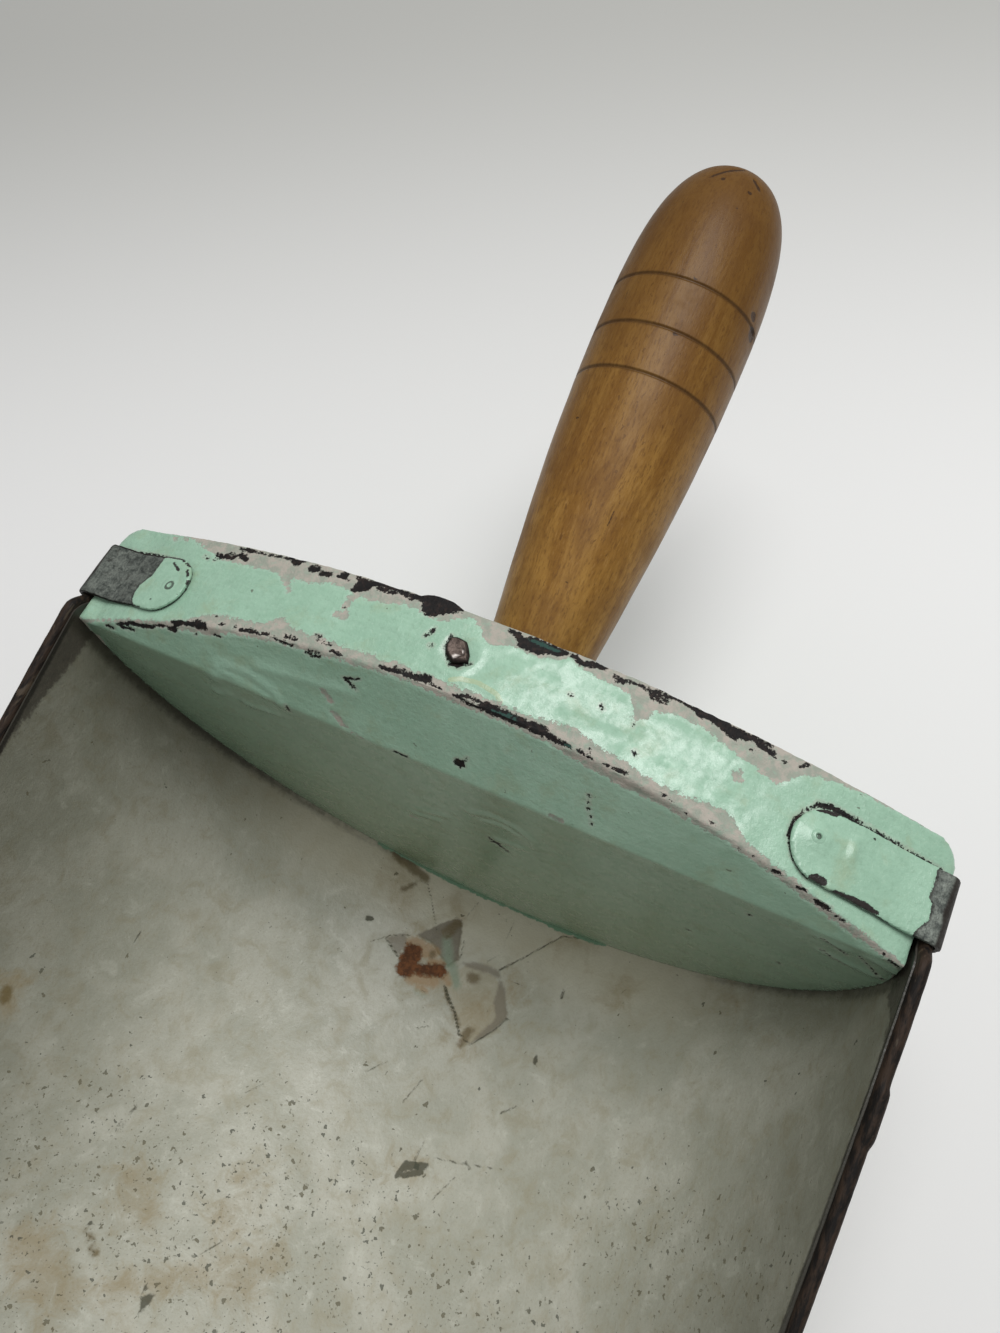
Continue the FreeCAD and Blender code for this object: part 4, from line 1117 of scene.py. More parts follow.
# Painted shade along the board's foot, with some dirt in the joint itself.
JOINT = (
    (-142, 0.2, 2.6, -100, 0.2, 2.2, -45, 0.2, 1, -22, 0.1, 0.3),
    (62, 0.1, 0.1, 100, 0, 1.2, 142, -0.3, 2.2),
)
GREEN_LAPS = (
    (-60, 0.3, 0.5, -30, 0.2, 0.7), (-30, 0.2, 0.3, -12, 0.1, 0.9, 10, 0.2, 0.5, 24, 0.1, 1),
    (24, 0.1, 0.8, 58, 0.3, 0.4),
)
GRITTY = (
    (-62, -104, 22, -4, -106, 22), (62, -56, 9, 118, -57, 9), (-60, -150, 26, 40, -160, 26),
    (-20, -84, 14, 60, -92, 14),
)


def along_curve(points):
    """Length along the bent sheet from its bottom line, right positive."""
    x, y, z = points.T
    angle = np.arctan2(x - SHEET_SHIFT, -(np.minimum(z, TROUGH_HEIGHT) - TROUGH_HEIGHT) + 1e-6)
    return SHEET_INSIDE * angle + np.sign(x) * np.maximum(z - TROUGH_HEIGHT, 0.0)


print("scratches drawn:", len(CRACKS))

# %% [markdown]
# As on the board, the marks become numbers on the points and the same numbers
# move the sheet: the broken paint is sunk, and the metal swells a little. Most
# marks are on the inner side only, the one that gets swept. The last four numbers
# are painted light and shade: a painted shadow under the rims, painted shade with
# some dirt near the board, a painted pool of light just in front of the board's
# middle, and painted shade up the sides.

# %% Pan: wear
BREAK_DEPTH = 0.14
SCRATCH_DEPTH = 0.10
WALL_FOOT = 138.0
points = points_of(pan)
s, y, z = along_curve(points), points[:, 1], points[:, 2]
from_axis = np.hypot(points[:, 0] - SHEET_SHIFT, np.minimum(z - TROUGH_HEIGHT, 0.0))
inner = from_axis < SHEET_MIDDLE
cracks = scars(s, y, CRACKS)
patch, undercoat = inside_outline(s, y, PATCH), inside_outline(s, y, UNDERCOAT)
greyed = np.maximum.reduce([
    inside_outline(s, y, outline) for outline in (GREY_EDGE, GREY_CORNER, BROKEN_LIP)
])
lost = np.maximum.reduce([patch, undercoat, greyed])
hollow = BREAK_DEPTH * step(lost, -0.4, 0.4) + SCRATCH_DEPTH * step(cracks, -0.2, 0.2)
swell = 0.10 * rough(points, 26.0, 11) + 0.05 * rough(points, 8.0, 12)
push_out(pan, np.where(inner, 1.0, -1.0) * (swell - hollow * inner))
wall = np.abs(s) - WALL_FOOT + 4.0 * (s < 0) * step(y, -60, 0) + 6.0 * (s > 0) * step(y, -9, -3)
marks = {
    "rust": RUST, "halo": RUST_HALO, "ochre": OCHRE, "teal": TEAL_UNDER, "stains": STAINS,
    "joint": JOINT, "laps": GREEN_LAPS, "gritty": GRITTY,
}
inside = {name: scars(s, y, strokes) for name, strokes in marks.items()}
inside.update(patch=patch, undercoat=undercoat, greyed=greyed, cracks=cracks)
inside["wall"] = np.maximum(wall, 1.2 - (rim_at(y) - z))
store(pan, **{name: np.where(inner, depth, FAR_OUTSIDE) for name, depth in inside.items()})
# Painted shade that grows up the sides of the pan.
climb = np.where(s < 0, step(-s, 25, 122), 0.75 * step(s, 50, 132))
store(
    pan,
    # Painted shadow under the rims.
    gap=1.3 - (rim_at(y) - dip(y, s) - z),
    # Painted shade, with some dirt, in front of the board.
    near_board=y - 24.0 * (1 - step(np.abs(s), 20, 70)),
    # A painted pool of light just in front of the board's middle.
    lightened=step(y, -22, -4) * (1 - step(np.abs(s), 40, 90)),
    up_the_side=climb * (1 - 0.35 * step(-y, 60, 160)),
)
print("pan points in the break:", int((lost > 0).sum()))

# %% [markdown]
# The finish starts from the greyed white and lays each kind of dirt and damage
# over it, in the order of a table. Ragged noise frays their edges; three sizes
# of specks stand for the grit. Painted light and shade go in the same table: a
# painted shadow under the rims, painted shade near the board, up the sides and
# along the board's foot, and a painted pool of light in front of the board.

# %% Pan: greyed white paint
def pan_finish():
    t = new_finish("greyed_white_enamel", Specular_IOR_Level=0.4)
    place = t.place()
    ragged = t.mottle(place, 0.55, 3.0, 0.7)
    fine = t.mottle(place, 1.6, 2.0, 0.7)
    broad = t.mottle(place, 0.045, 3.0, 0.6, 0.6)
    clouds = t.mottle(place, 0.16, 4.0, 0.7, 0.5)

    def edge(name, fray=1.6, soft=0.5, ragged=ragged):
        return t.use(soft_edge, Depth=t.worn(name), Ragged=ragged, Fray=fray, Soft=soft)

    def grit(scale, amount, size):
        return t.use(specks, Place=place, Scale=scale, Amount=amount, Size=size)

    crack, rust = edge("cracks", 0.5, 0.22, fine), edge("rust", 3.0, 0.6)
    under = edge("undercoat", 1.2, 0.4)
    amount = t.fade(t.worn("gritty"), -14.0, 12.0, 0.02, 0.6)
    spots = t.most(
        grit(0.52, amount, 0.27),
        grit(0.23, amount * 0.55, 0.17),
        grit(1.1, amount * 1.1, 0.26) * 0.7,
    )
    spot_tone = t.blend(t.fade(broad, 0.45, 0.55), tone(62, 66, 54), tone(92, 86, 62))
    rusty = t.blend(t.fade(ragged, 0.4, 0.65), tone(84, 50, 24), tone(118, 72, 38))
    colour = t.blend(t.fade(broad, 0.35, 0.65), tone(188, 187, 173), tone(171, 171, 156))
    for mask, over, *how in (
        (t.fade(clouds, 0.46, 0.72, 0.0, 0.5), tone(158, 150, 124)),
        (t.fade(clouds, 0.46, 0.28, 0.0, 0.5), tone(205, 205, 192)),
        (t.fade(fine, 0.5, 0.8, 0.0, 0.4), tone(150, 142, 120)),
        # Painted shade, with some dirt, in front of the board.
        (t.fade(t.worn("near_board"), -18.0, 3.0, 0.0, 0.34), tone(122, 114, 92)),
        # A painted pool of light just in front of the board's middle.
        (t.worn("lightened") * 0.6, tone(216, 208, 184)),
        # Painted shade up the sides of the pan.
        (t.worn("up_the_side"), (0.48, 0.48, 0.46, 1.0), "MULTIPLY"),
        (edge("stains", 20.0, 5.0, clouds) * 0.42, tone(142, 120, 76)),
        (edge("patch", 1.6, 0.4) * 0.35, tone(158, 142, 106)),
        (edge("greyed", 1.4, 0.5) * 0.75, tone(124, 116, 100)),
        (under * 0.9, t.blend(ragged, tone(92, 84, 70), tone(128, 120, 100))),
        (edge("teal", 1.6, 0.9) * 0.8, tone(132, 148, 126)),
        (edge("halo", 2.2, 0.8) * 0.7, tone(158, 124, 78)),
        (edge("ochre", 1.8, 0.7) * 0.8, tone(100, 84, 46)),
        (rust, rusty),
        (crack * 0.82, tone(64, 63, 47)),
        (spots * 0.72, spot_tone),
        (edge("wall", 5.0, 0.8) * 0.9, t.blend(ragged, tone(40, 37, 36), tone(92, 86, 76))),
        # Painted shadow in the gap under the rim beads.
        (edge("gap", 0.8, 0.4, fine) * 0.85, tone(30, 26, 24)),
        # Painted shade along the board's foot, with some dirt in the joint itself.
        (edge("joint", 2.4, 1.6) * 0.8, tone(42, 38, 29)),
        (edge("laps", 1.6, 0.15), tone(122, 156, 128)),
    ):
        colour = t.blend(mask, colour, over, *how)
    broken = t.most(crack, spots, rust)
    roughness = t.mix(broken, t.fade(clouds, 0.3, 0.7, 0.34, 0.52), 0.75)
    height = ragged * 0.16 + fine * 0.05 - t.most(edge("patch"), under) * 0.08 - broken * 0.12
    return t.shade(height, Base_Color=colour, Roughness=roughness)


finish(pan, "pan_sheet", pan_finish())

# %% [markdown]
# The pan's free edges are rolled outwards round a wire into a bead. A curve runs
# where the wire's middle is and gets a round section; made into a mesh, it is
# dented and worn unevenly, because this edge takes every knock.

# %% Rim beads
WIRE_RADIUS = 0.9


def rim_line(side):
    """Middle line of one bead, back to front."""
    line = []
    for y in np.arange(SHEET_BACK, -PAN_LENGTH + LIP_BULGE, -0.8):
        z = float(rim_at(y) - dip(y, side))
        x = SHEET_SHIFT + side * math.sqrt(HEM_PLACE ** 2 - max(TROUGH_HEIGHT - z, 0.0) ** 2)
        if y < 0 and -y > lip(x):
            break
        line.append((x, y, z))
    return line


def round_rod(name, line, radius):
    """A rod along a line, as a mesh with welded ends."""
    curve = bpy.data.curves.new(name, "CURVE")
    curve.dimensions = "3D"
    spline = curve.splines.new("POLY")
    spline.points.add(len(line) - 1)
    for point, place in zip(spline.points, line):
        point.co = (*place, 1)
    curve.bevel_depth = radius
    curve.bevel_resolution = 6
    curve.use_fill_caps = True
    only(linked(name, curve))
    bpy.ops.object.convert(target="MESH")
    rod = bpy.context.object
    edit(rod)
    bpy.ops.mesh.remove_doubles(threshold=0.001)
    face_outwards()
    done()
    return rod


def rim_bead(name, side):
    """The bead, with a swollen place at the right just before the board."""
    bead = round_rod(name, rim_line(side), HEM_RADIUS)
    points = points_of(bead)
    x, y, z = points.T
    dents = 0.07 * rough(points, 9.0, side) + 0.05 * rough(points, 1.4, side + 5)
    swollen = 0.5 * step(y, -30.0, -28.0) * step(-y, 19.0, 21.0) * (side > 0)
    push_out(bead, dents + swollen * step(x - 90.0, 0.0, 1.5) - 0.15)
    return bead


def rim_wire(name, side):
    """The wire inside a bead; only its front end shows."""
    line = rim_line(side)
    line.append([last + (last - before) / 2 for before, last in zip(*line[-2:])])
    return round_rod(name, line, WIRE_RADIUS)


beads = [rim_bead("rim_bead_right", 1), rim_bead("rim_bead_left", -1)]
wires = {
    "rim_wire_right": rim_wire("drawn_wire_right", 1),
    "rim_wire_left": rim_wire("drawn_wire_left", -1),
}
print("beads and wires:", [rod.name for rod in (*beads, *wires.values())])

# %% Rims: rubbed paint over rusty steel
def rim_finish():
    t = new_finish("rubbed_rim", Specular_IOR_Level=0.2)
    drawn_out = t.stretched(t.place(), 1.0, 0.18, 1.0)
    streaks = t.mottle(drawn_out, 0.8, 4.0, 0.7)
    steel = t.blend(t.fade(streaks, 0.38, 0.62), tone(17, 14, 12), tone(52, 40, 31))
    paint = t.use(grime, Place=drawn_out, Scale=0.5, Low=0.58, High=0.66)
    light = t.use(specks, Place=drawn_out, Scale=0.6, Amount=0.22, Size=0.22)
    colour = t.blend(paint * 0.35, steel, tone(104, 92, 76))
    colour = t.blend(light * 0.5, colour, tone(140, 130, 112))
    roughness = t.fade(paint, 0.0, 1.0, 0.62, 0.45)
    return t.shade(streaks * 0.25, Base_Color=colour, Roughness=roughness)


rim_paint = rim_finish()
for bead in beads:
    finish(bead, "pan_sheet", rim_paint)


# %% [markdown]
# The strap is a flat band, folded down onto the board's top at both ends, over
# the beads and under the pan. Its middle line, drawn as a chain of edges in one
# plane, is pulled out to the band's width; the corners of both tips are rounded
# by bevelling points, and Solidify makes it metal. A fine remesh softens every
# edge, as paint and handling do, and gives it points enough for the wear.

# %% Strap: sizes
STRAP_FRONT = 5.4
STRAP_WIDTH = 13.5
STRAP_THICKNESS = 1.0
STRAP_GAP = 0.1
STRAP_MIDDLE = STRAP_GAP + STRAP_THICKNESS / 2
STRAP_TIPS = {-1: -66.5, 1: 63.5}
STRAP_LIFT = 83.0
STRAP_CELL = 0.4
OVER_HEM = 78
ROUND_HEM = -12.5


def arc(centre, radius, first, last, steps):
    """Points on an arc in the X-Z plane, angles in degrees from +X to +Z."""
    angles = np.radians(np.linspace(first, last, steps))
    return [(centre[0] + radius * math.cos(a), centre[1] + radius * math.sin(a)) for a in angles]


def strap_line(side):
    """Middle of the band from a tip, over the hem, to the bottom of the pan."""
    tip = STRAP_TIPS[side]
    past_tip = tip + side * (STRAP_WIDTH / 2 + 0.1)
    places = [tip, *np.linspace(past_tip, side * STRAP_LIFT, 16)]
    flat = [(x, crown(x) + STRAP_MIDDLE) for x in places]
    hem = (SHEET_SHIFT + side * HEM_PLACE, HEM_UNDER_STRAP[side])
    centre = (SHEET_SHIFT, TROUGH_HEIGHT)
    turn = math.radians(OVER_HEM)
    reach = HEM_RADIUS + STRAP_MIDDLE
    touch = Vector((hem[0] + side * reach * math.cos(turn), hem[1] + reach * math.sin(turn)))
    leave, run = Vector(flat[-1]), abs(flat[-1][0] - touch.x) / 3
    fall_here, fall_there = STRAP_LIFT / CROWN_RADIUS, math.tan(math.pi / 2 - turn)
    poles = (
        leave, leave + Vector((side * run, -run * fall_here)),
        touch + Vector((-side * run, run * fall_there)), touch,
    )
    top = flat + [tuple(map(float, p)) for p in bezier(poles, 14)[1:-1]]
    over = arc(hem, reach, OVER_HEM, ROUND_HEM, 12)
    down = arc(centre, SHEET_OUTSIDE + STRAP_MIDDLE, ROUND_HEM, -90, 90)
    if side < 0:
        over = [(2 * hem[0] - x, z) for x, z in over]
        down = [(2 * centre[0] - x, z) for x, z in down]
    return top + over + down


chain = strap_line(-1) + strap_line(1)[::-1][1:]
print("strap line:", len(chain), "points")

# %% Strap: form
strap = chain_of_edges("strap", [(x, STRAP_FRONT, z) for x, z in chain])
edit(strap)
bpy.ops.mesh.extrude_edges_move(TRANSFORM_OT_translate={"value": (0, STRAP_WIDTH, 0)})
bpy.ops.mesh.select_all(action="SELECT")
face_outwards()
done()
tips = STRAP_TIPS.values()
pick(strap, lambda p: p.z > 0 and min(abs(p.x - tip) for tip in tips) < 0.01, "VERT")
bpy.ops.mesh.bevel(
    offset=STRAP_WIDTH / 2 - 0.05, segments=10, affect="VERTICES", clamp_overlap=False
)
done()
apply_modifier(strap, "SOLIDIFY", thickness=STRAP_THICKNESS, offset=0.0, use_even_offset=True)
apply_modifier(strap, "REMESH", mode="VOXEL", voxel_size=STRAP_CELL)
apply_modifier(strap, "SMOOTH", factor=0.5, iterations=3)
print("strap:", len(strap.data.vertices), "points")

# %% [markdown]
# The strap was never all painted: the board's green laps over its ends, and past
# a ragged edge the bare zinc shows, dull and spangled. Cracks in the paint follow
# its outline. The nails under the paint lift it, most of all at the right.

# %% Strap: wear
PAINT_COAT = 0.12
CRACK_DEPTH = 0.10
OUTER_EDGE = 92.9
NAIL_CRACK = ((68.0, 12.7, 0.35, 68.2, 12.9, 0.35),)
LEFT_NAIL = (-70.6, 11.7)
RIGHT_NAIL = (68.0, 12.8)
PAINT_ENDS_LEFT = (
    (5.2, -76.7), (7.1, -78.5), (8.6, -79), (10.6, -79), (13.6, -77.4), (18.5, -77.4),
)
PAINT_ENDS_RIGHT = ((5.2, 88.2), (6.5, 88.4), (9, 89.9), (12, 89.8), (13, 89), (18.9, 89))
points = points_of(strap)
x, y, z = points.T
on_board = z > crown(x) - 0.6
left_end, right_end = x - line_at(PAINT_ENDS_LEFT, y), line_at(PAINT_ENDS_RIGHT, y) - x
painted = np.where(x < 0, left_end, right_end)
painted = np.where(on_board, painted, np.minimum(painted, -1.5))
foot = 0.42 - (z - crown(x) - STRAP_GAP)
cracks = np.maximum.reduce([
    np.where(on_board, scars(x, y, STRAP_CRACKS), FAR_OUTSIDE),
    scars(x, y, NAIL_CRACK),
    np.where((np.abs(x) < 89) & (z > crown(x) - 0.2), foot, FAR_OUTSIDE),
])
from_nail = np.hypot(x - RIGHT_NAIL[0], y - RIGHT_NAIL[1])
lift = 0.8 * hill(from_nail, 2.9) - 0.5 * hill(from_nail, 0.55)
lift = lift + 0.5 * hill(x - 74.3, 1.0) * hill(y - 13.6, 2.3)
lift = lift + 0.16 * hill(np.hypot(x + 70.9, y - 11.8) - 1.3, 0.5)
lift = lift * on_board + 0.08 * rough(points, 5.0, 21) + PAINT_COAT * step(painted, -0.3, 0.3)
push_out(strap, lift - CRACK_DEPTH * step(cracks, -0.2, 0.2))
outer = np.abs(x - SHEET_SHIFT) - OUTER_EDGE + 0.5 * rough(points, 3.0, 22)
store(strap, painted=painted, cracks=cracks, outer=outer)
print("strap points under paint:", int((painted > 0).sum()))

# %% Strap: zinc under green paint
def strap_finish():
    t = new_finish("spangled_strap", Specular_IOR_Level=0.3, Coat_Roughness=0.2)
    place = t.place()
    zinc = t.use(spangled, Place=place, Dark=tone(60, 65, 62), Light=tone(132, 138, 130))
    dirt = t.use(grime, Place=place, Scale=0.3, Low=0.55, High=0.75)
    gloss = t.use(green_gloss, Place=place, Mottled=1.0)
    paint = t.torn(place, "painted", 1.6, 0.6)
    crack = t.torn(place, "cracks", 0.9, 1.3)
    colour = t.blend(dirt * 0.7, zinc, tone(56, 50, 46))
    colour = t.blend(t.fade(t.worn("outer"), -0.3, 0.3, 0.0, 0.85), colour, tone(44, 36, 32))
    colour = t.blend(paint["Lip"] * 0.6, colour, tone(46, 42, 40))
    colour = t.blend(paint, colour, gloss)
    colour = t.blend(crack, colour, tone(34, 29, 26))
    bare = 1.0 - paint
    roughness = t.mix(bare, gloss["Roughness"], zinc["Roughness"])
    height = gloss["Height"] * 0.08 + bare * zinc["Height"] * 0.12 - crack * 0.12
    return t.shade(
        height, Base_Color=colour, Roughness=roughness,
        Metallic=bare * 0.55, Coat_Weight=paint * 0.5,
    )


finish(strap, "back_strap", strap_finish())

# %% [markdown]
# The handle is turned, so its half outline is drawn as a chain of edges and spun
# about the axis, which leaves the board's back 15.7 degrees upwards. Two Bezier
# curves give the long swell and the round end; three shallow grooves are cut with
# the point of a tool while the wood turns.

# %% Handle: outline
HANDLE_FOOT = Vector((0, BOARD_THICKNESS, -23.6))
HANDLE_TILT = math.radians(15.7)
HANDLE_AXIS = Vector((0, math.cos(HANDLE_TILT), math.sin(HANDLE_TILT)))
HANDLE_UP = Vector((0, -math.sin(HANDLE_TILT), math.cos(HANDLE_TILT)))
HANDLE_START = -4.0
SWELL = ((0, 10.3), (35, 14.0), (60, 17.9), (99, 17.9))
ROUND_END = ((99, 17.9), (129.24, 17.9), (141, 12.89), (141, 0))
GROOVES = (78.8, 90.1, 102.4)
GROOVE_DEPTH = 0.3
GROOVE_WIDTH = 0.9

outline = np.vstack([bezier(SWELL), bezier(ROUND_END)[1:]])
places = np.sort(np.concatenate([
    np.arange(0, 130, 1.2),
    [groove + d for groove in GROOVES for d in np.linspace(-0.8, 0.8, 13)],
    130 + 11 * np.sin(np.linspace(0, math.pi / 2, 26)),
]))
half = [(HANDLE_START, 10.1)]
for along in places:
    radius = float(np.interp(along, outline[:, 0], outline[:, 1]))
    for groove in GROOVES:
        off = abs(along - groove) / (GROOVE_WIDTH / 2)
        radius -= GROOVE_DEPTH * max(0.0, 1.0 - off * off)
    half.append((along, radius))
half[-1] = (half[-1][0], 0.0)
print("handle outline:", len(half), "points")

# %% Handle: form
handle = chain_of_edges(
    "turned_handle", [HANDLE_FOOT + HANDLE_AXIS * a + HANDLE_UP * r for a, r in half]
)
edit(handle)
bpy.ops.mesh.spin(steps=160, angle=2 * math.pi, center=HANDLE_FOOT, axis=HANDLE_AXIS)
bpy.ops.mesh.select_all(action="SELECT")
bpy.ops.mesh.remove_doubles(threshold=0.002)
face_outwards()
done()
pick(handle, lambda p: (p - HANDLE_FOOT).dot(HANDLE_AXIS) < HANDLE_START + 0.01)
bpy.ops.mesh.fill()
done()
print("handle:", len(handle.data.vertices), "points")

# %% [markdown]
# The wood is a close, honey-coloured hardwood under old varnish. Its grain runs
# along the handle, so the pattern reads a place measured from the handle's foot
# and turned to its axis, with the axis squeezed to draw every mark out. Short
# dark flecks lie along the grain, and dirt has settled in the scored lines. A
# pit is a distance along the axis, an angle round it and a size.

# %% Handle: wear
HANDLE_RADIUS = 14.0
PIT_DEPTH = 0.25
HANDLE_PITS = (
    (104.5, 70, 1.1), (101.5, 79, 1.6), (124, 20, 0.5), (129.5, 26, 0.6), (130.9, -2, 0.6),
    (104, 7, 0.45), (103.2, 12, 0.4), (104.6, 1, 0.35), (89.5, 14, 0.5), (122, -25, 0.45),
    (52, 30, 0.4), (66, -35, 0.45), (30, 12, 0.35), (112, -10, 0.4),
)
TIP_SPLITS = (
    (130.9, -3.75, 0.35, 134, -1, 0.5, 136.9, 3.25, 0.4), (134.5, 6.75, 0.45, 132.4, 8.75, 0.55),
    (96, -9, 0.1, 101, -8.6, 0.12), (40, 6, 0.05, 49, 6.3, 0.1),
)


def handle_places(points):
    """Distance along the axis and angle round it, 0 at the top, of each point."""
    from_foot = points - np.array(HANDLE_FOOT)
    along = from_foot @ np.array(HANDLE_AXIS)
    return along, np.degrees(np.arctan2(from_foot[:, 0], from_foot @ np.array(HANDLE_UP)))


points = points_of(handle)
along, around = handle_places(points)
scored = GROOVE_WIDTH / 2 - np.min([np.abs(along - groove) for groove in GROOVES], axis=0)
pits = np.maximum.reduce([
    size - np.hypot(along - a, np.radians(around - turn) * HANDLE_RADIUS)
    for a, turn, size in HANDLE_PITS
] + [scars(along, around * 0.25, TIP_SPLITS)])
wear = 0.06 * rough(points, 9.0, 31) + 0.02 * rough(points, 2.5, 32)
push_out(handle, wear - PIT_DEPTH * step(pits, -0.3, 0.5))
store(handle, scored=scored, along=along, pits=pits)
print("handle points in pits:", int((pits > 0).sum()))

# %% Handle: varnished hardwood
def handle_finish():
    t = new_finish(
        "honey_varnish", Specular_IOR_Level=0.17, Coat_Roughness=0.3, Coat_Weight=0.07
    )
    place = t.place(HANDLE_FOOT, HANDLE_TILT)
    bands = t.mottle(t.stretched(place, y=0.10), 0.28, 3.0, 0.6, 0.6)
    fine = t.mottle(t.stretched(place, y=0.22), 2.0, 3.0, 0.7)
    flecks = t.use(specks, Place=t.stretched(place, y=0.4), Scale=0.9, Amount=0.4, Size=0.22)
    handled = t.use(grime, Place=place, Scale=0.07, Low=0.42, High=0.7)
    colour = t.blend(t.fade(bands, 0.35, 0.65), tone(156, 116, 56), tone(130, 91, 38))
    for mask, over in (
        (t.fade(fine, 0.48, 0.68, 0.0, 0.6), tone(96, 62, 30)),
        (t.fade(fine, 0.45, 0.3, 0.0, 0.35), tone(166, 130, 80)),
        (flecks * 0.5, tone(80, 50, 26)),
        (handled * 0.4, tone(104, 70, 36)),
        (t.fade(t.worn("along"), 20.0, 132.0, 0.0, 0.78), tone(82, 52, 10)),
        (t.fade(t.worn("scored"), -0.5, 0.4) * 0.62, tone(60, 40, 20)),
        (t.torn(place, "pits", 0.8, 1.2) * 0.8, tone(46, 28, 16)),
    ):
        colour = t.blend(mask, colour, over)
    roughness = t.fade(handled, 0.0, 1.0, 0.4, 0.55)
    return t.shade(fine * 0.07 - flecks * 0.03, Base_Color=colour, Roughness=roughness)


finish(handle, "handle", handle_finish(), 60)

# %% [markdown]
# The nail that holds the handle is hand-driven: its head began square and the
# hammer knocked it out of shape. Eight corners are pushed to the worn outline,
# the face is pulled up, inset and tilted, and a bevel and a subdivision round it.

# %% Handle nail
NAIL_FOOT = 18.3
NAIL_RISE = 1.2
NAIL_OUTLINE = (
    (-5.9, 17.0), (-5.8, 19.0), (-4.6, 19.4), (-2.5, 19.2),
    (-0.9, 16.9), (-0.5, 15.4), (-3.3, 14.3), (-5.2, 15.4),
)
nail = start(
    bpy.ops.mesh.primitive_circle_add, "handle_nail_head", vertices=len(NAIL_OUTLINE),
    radius=2.6, fill_type="NGON", location=(-3.2, 17, NAIL_FOOT),
)
for vertex, (x, y) in zip(nail.data.vertices, NAIL_OUTLINE[::-1]):
    vertex.co = (x, y, NAIL_FOOT)
edit(nail)
face_outwards()
bpy.ops.mesh.select_mode(type="FACE")
bpy.ops.mesh.extrude_region_move(TRANSFORM_OT_translate={"value": (0, 0, NAIL_RISE)})
for thickness, way in ((0.55, (-0.15, 0.1, 0.45)), (0.6, (0.2, -0.1, -0.15))):
    bpy.ops.mesh.inset(thickness=thickness)
    bpy.ops.transform.translate(value=way)
bpy.ops.mesh.select_all(action="SELECT")
face_outwards()
bpy.ops.mesh.bevel(offset=0.14, segments=2, affect="EDGES")
bpy.ops.mesh.subdivide(number_cuts=3, smoothness=0.3)
done()
push_out(nail, 0.10 * rough(points_of(nail), 1.3, 3))
print("handle nail:", len(nail.data.vertices), "points")

# %% Nails: dark steel
def steel_finish(name, dark, light):
    """Spangled steel; where a piece has the numbers, a painted highlight streak and a dark rim."""
    t = new_finish(name, Metallic=0.8)
    steel = t.use(spangled, Place=t.place(), Dark=dark, Light=light)
    # A painted highlight streak, nearly white.
    streak = t.fade(t.worn("rubbed_bright"), 0.0, 0.7, 0.0, 0.9)
    rim = t.fade(t.worn("dark_rim"), 0.0, 0.6, 0.0, 0.85)
    colour = t.blend(rim, t.blend(streak, steel, tone(226, 218, 212)), tone(30, 24, 22))
    return t.shade(steel["Height"] * 0.25, Base_Color=colour, Roughness=steel["Roughness"])


x, y, z = points_of(nail).T
# Painted highlight: a bright streak across the head's face.
rubbed = 0.35 + scars(x, y, ((-3.3, 15.3, 0.3, -2.3, 16.8, 0.25),))
store(nail, rubbed_bright=rubbed, dark_rim=0.75 - inside_outline(x, y, NAIL_OUTLINE))
nail_steel = steel_finish("hammered_nail", tone(46, 38, 35), tone(122, 108, 100))
finish(nail, "handle_nail", nail_steel, 30)

# %% [markdown]
# The two nails through the strap's ends lie under the paint: only a low swelling
# with a small pit shows. Each is a disc whose face is inset and raised to a dome,
# then pressed in at its middle. The left one is flatter and shows as a thin ring.

# %% Strap nails
HEAD_RINGS = 9


def strap_nail(name, x, y, radius, above, height, pit):
    """Low painted-over nail head standing square on the crowned strap."""
    seat = crown(x) + STRAP_GAP + STRAP_THICKNESS + above
    head = start(
        bpy.ops.mesh.primitive_circle_add, name, vertices=48, radius=radius,
        fill_type="NGON", location=(x, y, seat),
    )
    edit(head)
    bpy.ops.mesh.select_mode(type="FACE")
    for ring in range(HEAD_RINGS):
        bpy.ops.mesh.inset(thickness=radius / (HEAD_RINGS + 1))
    done()
    points = points_of(head)
    away = np.hypot(points[:, 0] - x, points[:, 1] - y)
    dome = height * np.sqrt(np.clip(1 - (away / radius) ** 2, 0, 1))
    points[:, 2] += dome - pit * step(radius * 0.42 - away, 0.0, radius * 0.25)
    points[:, 2] += crown(points[:, 0]) - crown(x)
    move_points(head, points)
    apply_modifier(head, "SOLIDIFY", thickness=0.4, offset=-1)
    return head


left_head = strap_nail("strap_nail_head_left", *LEFT_NAIL, 1.35, 0.12, 0.35, 0.2)
right_head = strap_nail("strap_nail_head_right", *RIGHT_NAIL, 1.6, 0.30, 0.9, 0.5)
print("strap nails:", left_head.name, right_head.name)

# %% Strap nails: painted heads
def painted_head_finish():
    t = new_finish("painted_nail_head")
    place = t.place()
    gloss = t.use(green_gloss, Place=place, Mottled=1.0)
    colour = t.blend(t.torn(place, "pit", 0.5, 1.6) * 0.85, gloss, tone(58, 66, 58))
    return t.shade(gloss["Height"] * 0.08, Base_Color=colour, Roughness=gloss["Roughness"])


head_paint = painted_head_finish()
for head, node, (nail_x, nail_y), mark in (
    (left_head, "strap_nail_left", LEFT_NAIL, lambda away: 0.4 - np.abs(away - 1.0)),
    (right_head, "strap_nail_right", RIGHT_NAIL, lambda away: 0.5 - away),
):
    x, y, z = points_of(head).T
    store(head, pit=mark(np.hypot(x - nail_x, y - nail_y)))
    finish(head, node, head_paint)

# %% [markdown]
# The small tacks under the pan are right as the CAD made them, so they stay and
# only get their metal. The wires follow the pressed-down rims.

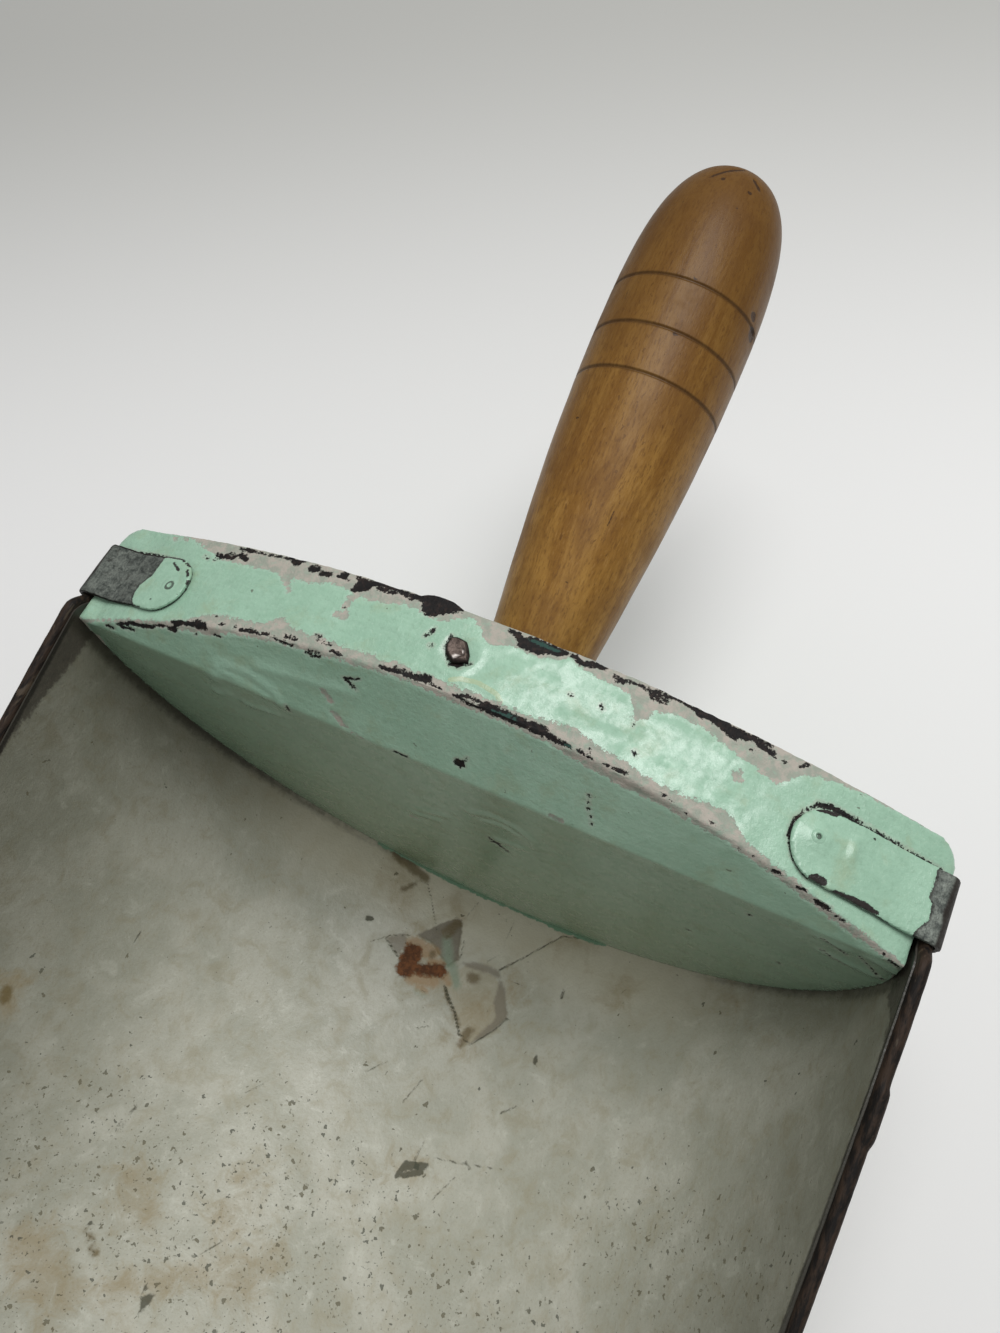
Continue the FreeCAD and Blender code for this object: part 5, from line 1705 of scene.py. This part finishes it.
# %% Tacks and wires
hidden_steel = steel_finish("rusty_steel", tone(58, 46, 38), tone(122, 104, 88))
nodes["strap_tacks"].data.materials.clear()
nodes["strap_tacks"].data.materials.append(hidden_steel)
for node, wire in wires.items():
    finish(wire, node, hidden_steel)
print("CAD pieces kept:", [name for name in nodes if not nodes[name].hide_render])

# %% [markdown]
# The set is as plain as can be: a pale floor whose colour greys slightly with
# distance, as painted shade, one large soft lamp overhead and a little behind, and
# an even, pale world that fills the shadows. Paint shows about the colour it was
# given.

# %% Floor, lamp and world
FLOOR_SIZE = 8.0
LAMP_POWER = 7.7
LAMP_SIZE = 0.62
LAMP_WAY = Vector((0.12, 0.32, 0.93))
WORLD_LIGHT = 0.46

floor = start(bpy.ops.mesh.primitive_plane_add, "floor", size=FLOOR_SIZE)
t = new_finish("pale_table", Roughness=0.6, Specular_IOR_Level=0.2)
across = t.put("SeparateXYZ", {"Vector": t.put("TexCoord")["Object"]})
# Painted shade: the floor's colour greys with distance.
far = across["Y"] - across["X"] * 0.48
pale = t.blend(t.fade(far, 0.12, 0.5), tone(232, 232, 231), tone(184, 184, 180))
floor.data.materials.append(t.shade(Base_Color=pale))
floor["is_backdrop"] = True

lamp = bpy.data.lights.new("softbox", "AREA")
lamp.energy = LAMP_POWER
lamp.size = LAMP_SIZE
softbox = linked("softbox", lamp)
softbox.location = LAMP_WAY.normalized() + crease
softbox.rotation_euler = (crease - softbox.location).to_track_quat("-Z", "Y").to_euler()

world = bpy.data.worlds.new("even_light")
bpy.context.scene.world = world
world.use_nodes = True
t = Tree(world.node_tree)
upward = t.put("SeparateXYZ", {"Vector": t.put("TexCoord")["Generated"]})["Z"]
sky = t.blend(t.fade(upward, 0.05, 0.9), (0.62, 0.62, 0.62, 1.0), (1.0, 1.0, 1.0, 1.0))
t.feed(world.node_tree.nodes["Background"], {"Color": sky, "Strength": WORLD_LIGHT})
bpy.context.scene.view_settings.view_transform = "Standard"
print("lamp:", LAMP_POWER, "W,", round(1000 * softbox.location.z), "mm above the floor")

# %% Sizes
sizes = {
    "cad": [list(corner) for corner in cad_box],
    "visual": [list(corner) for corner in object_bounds()],
}
for name, (low, high) in sizes.items():
    print(name, [round(1000 * (b - a), 1) for a, b in zip(low, high)])
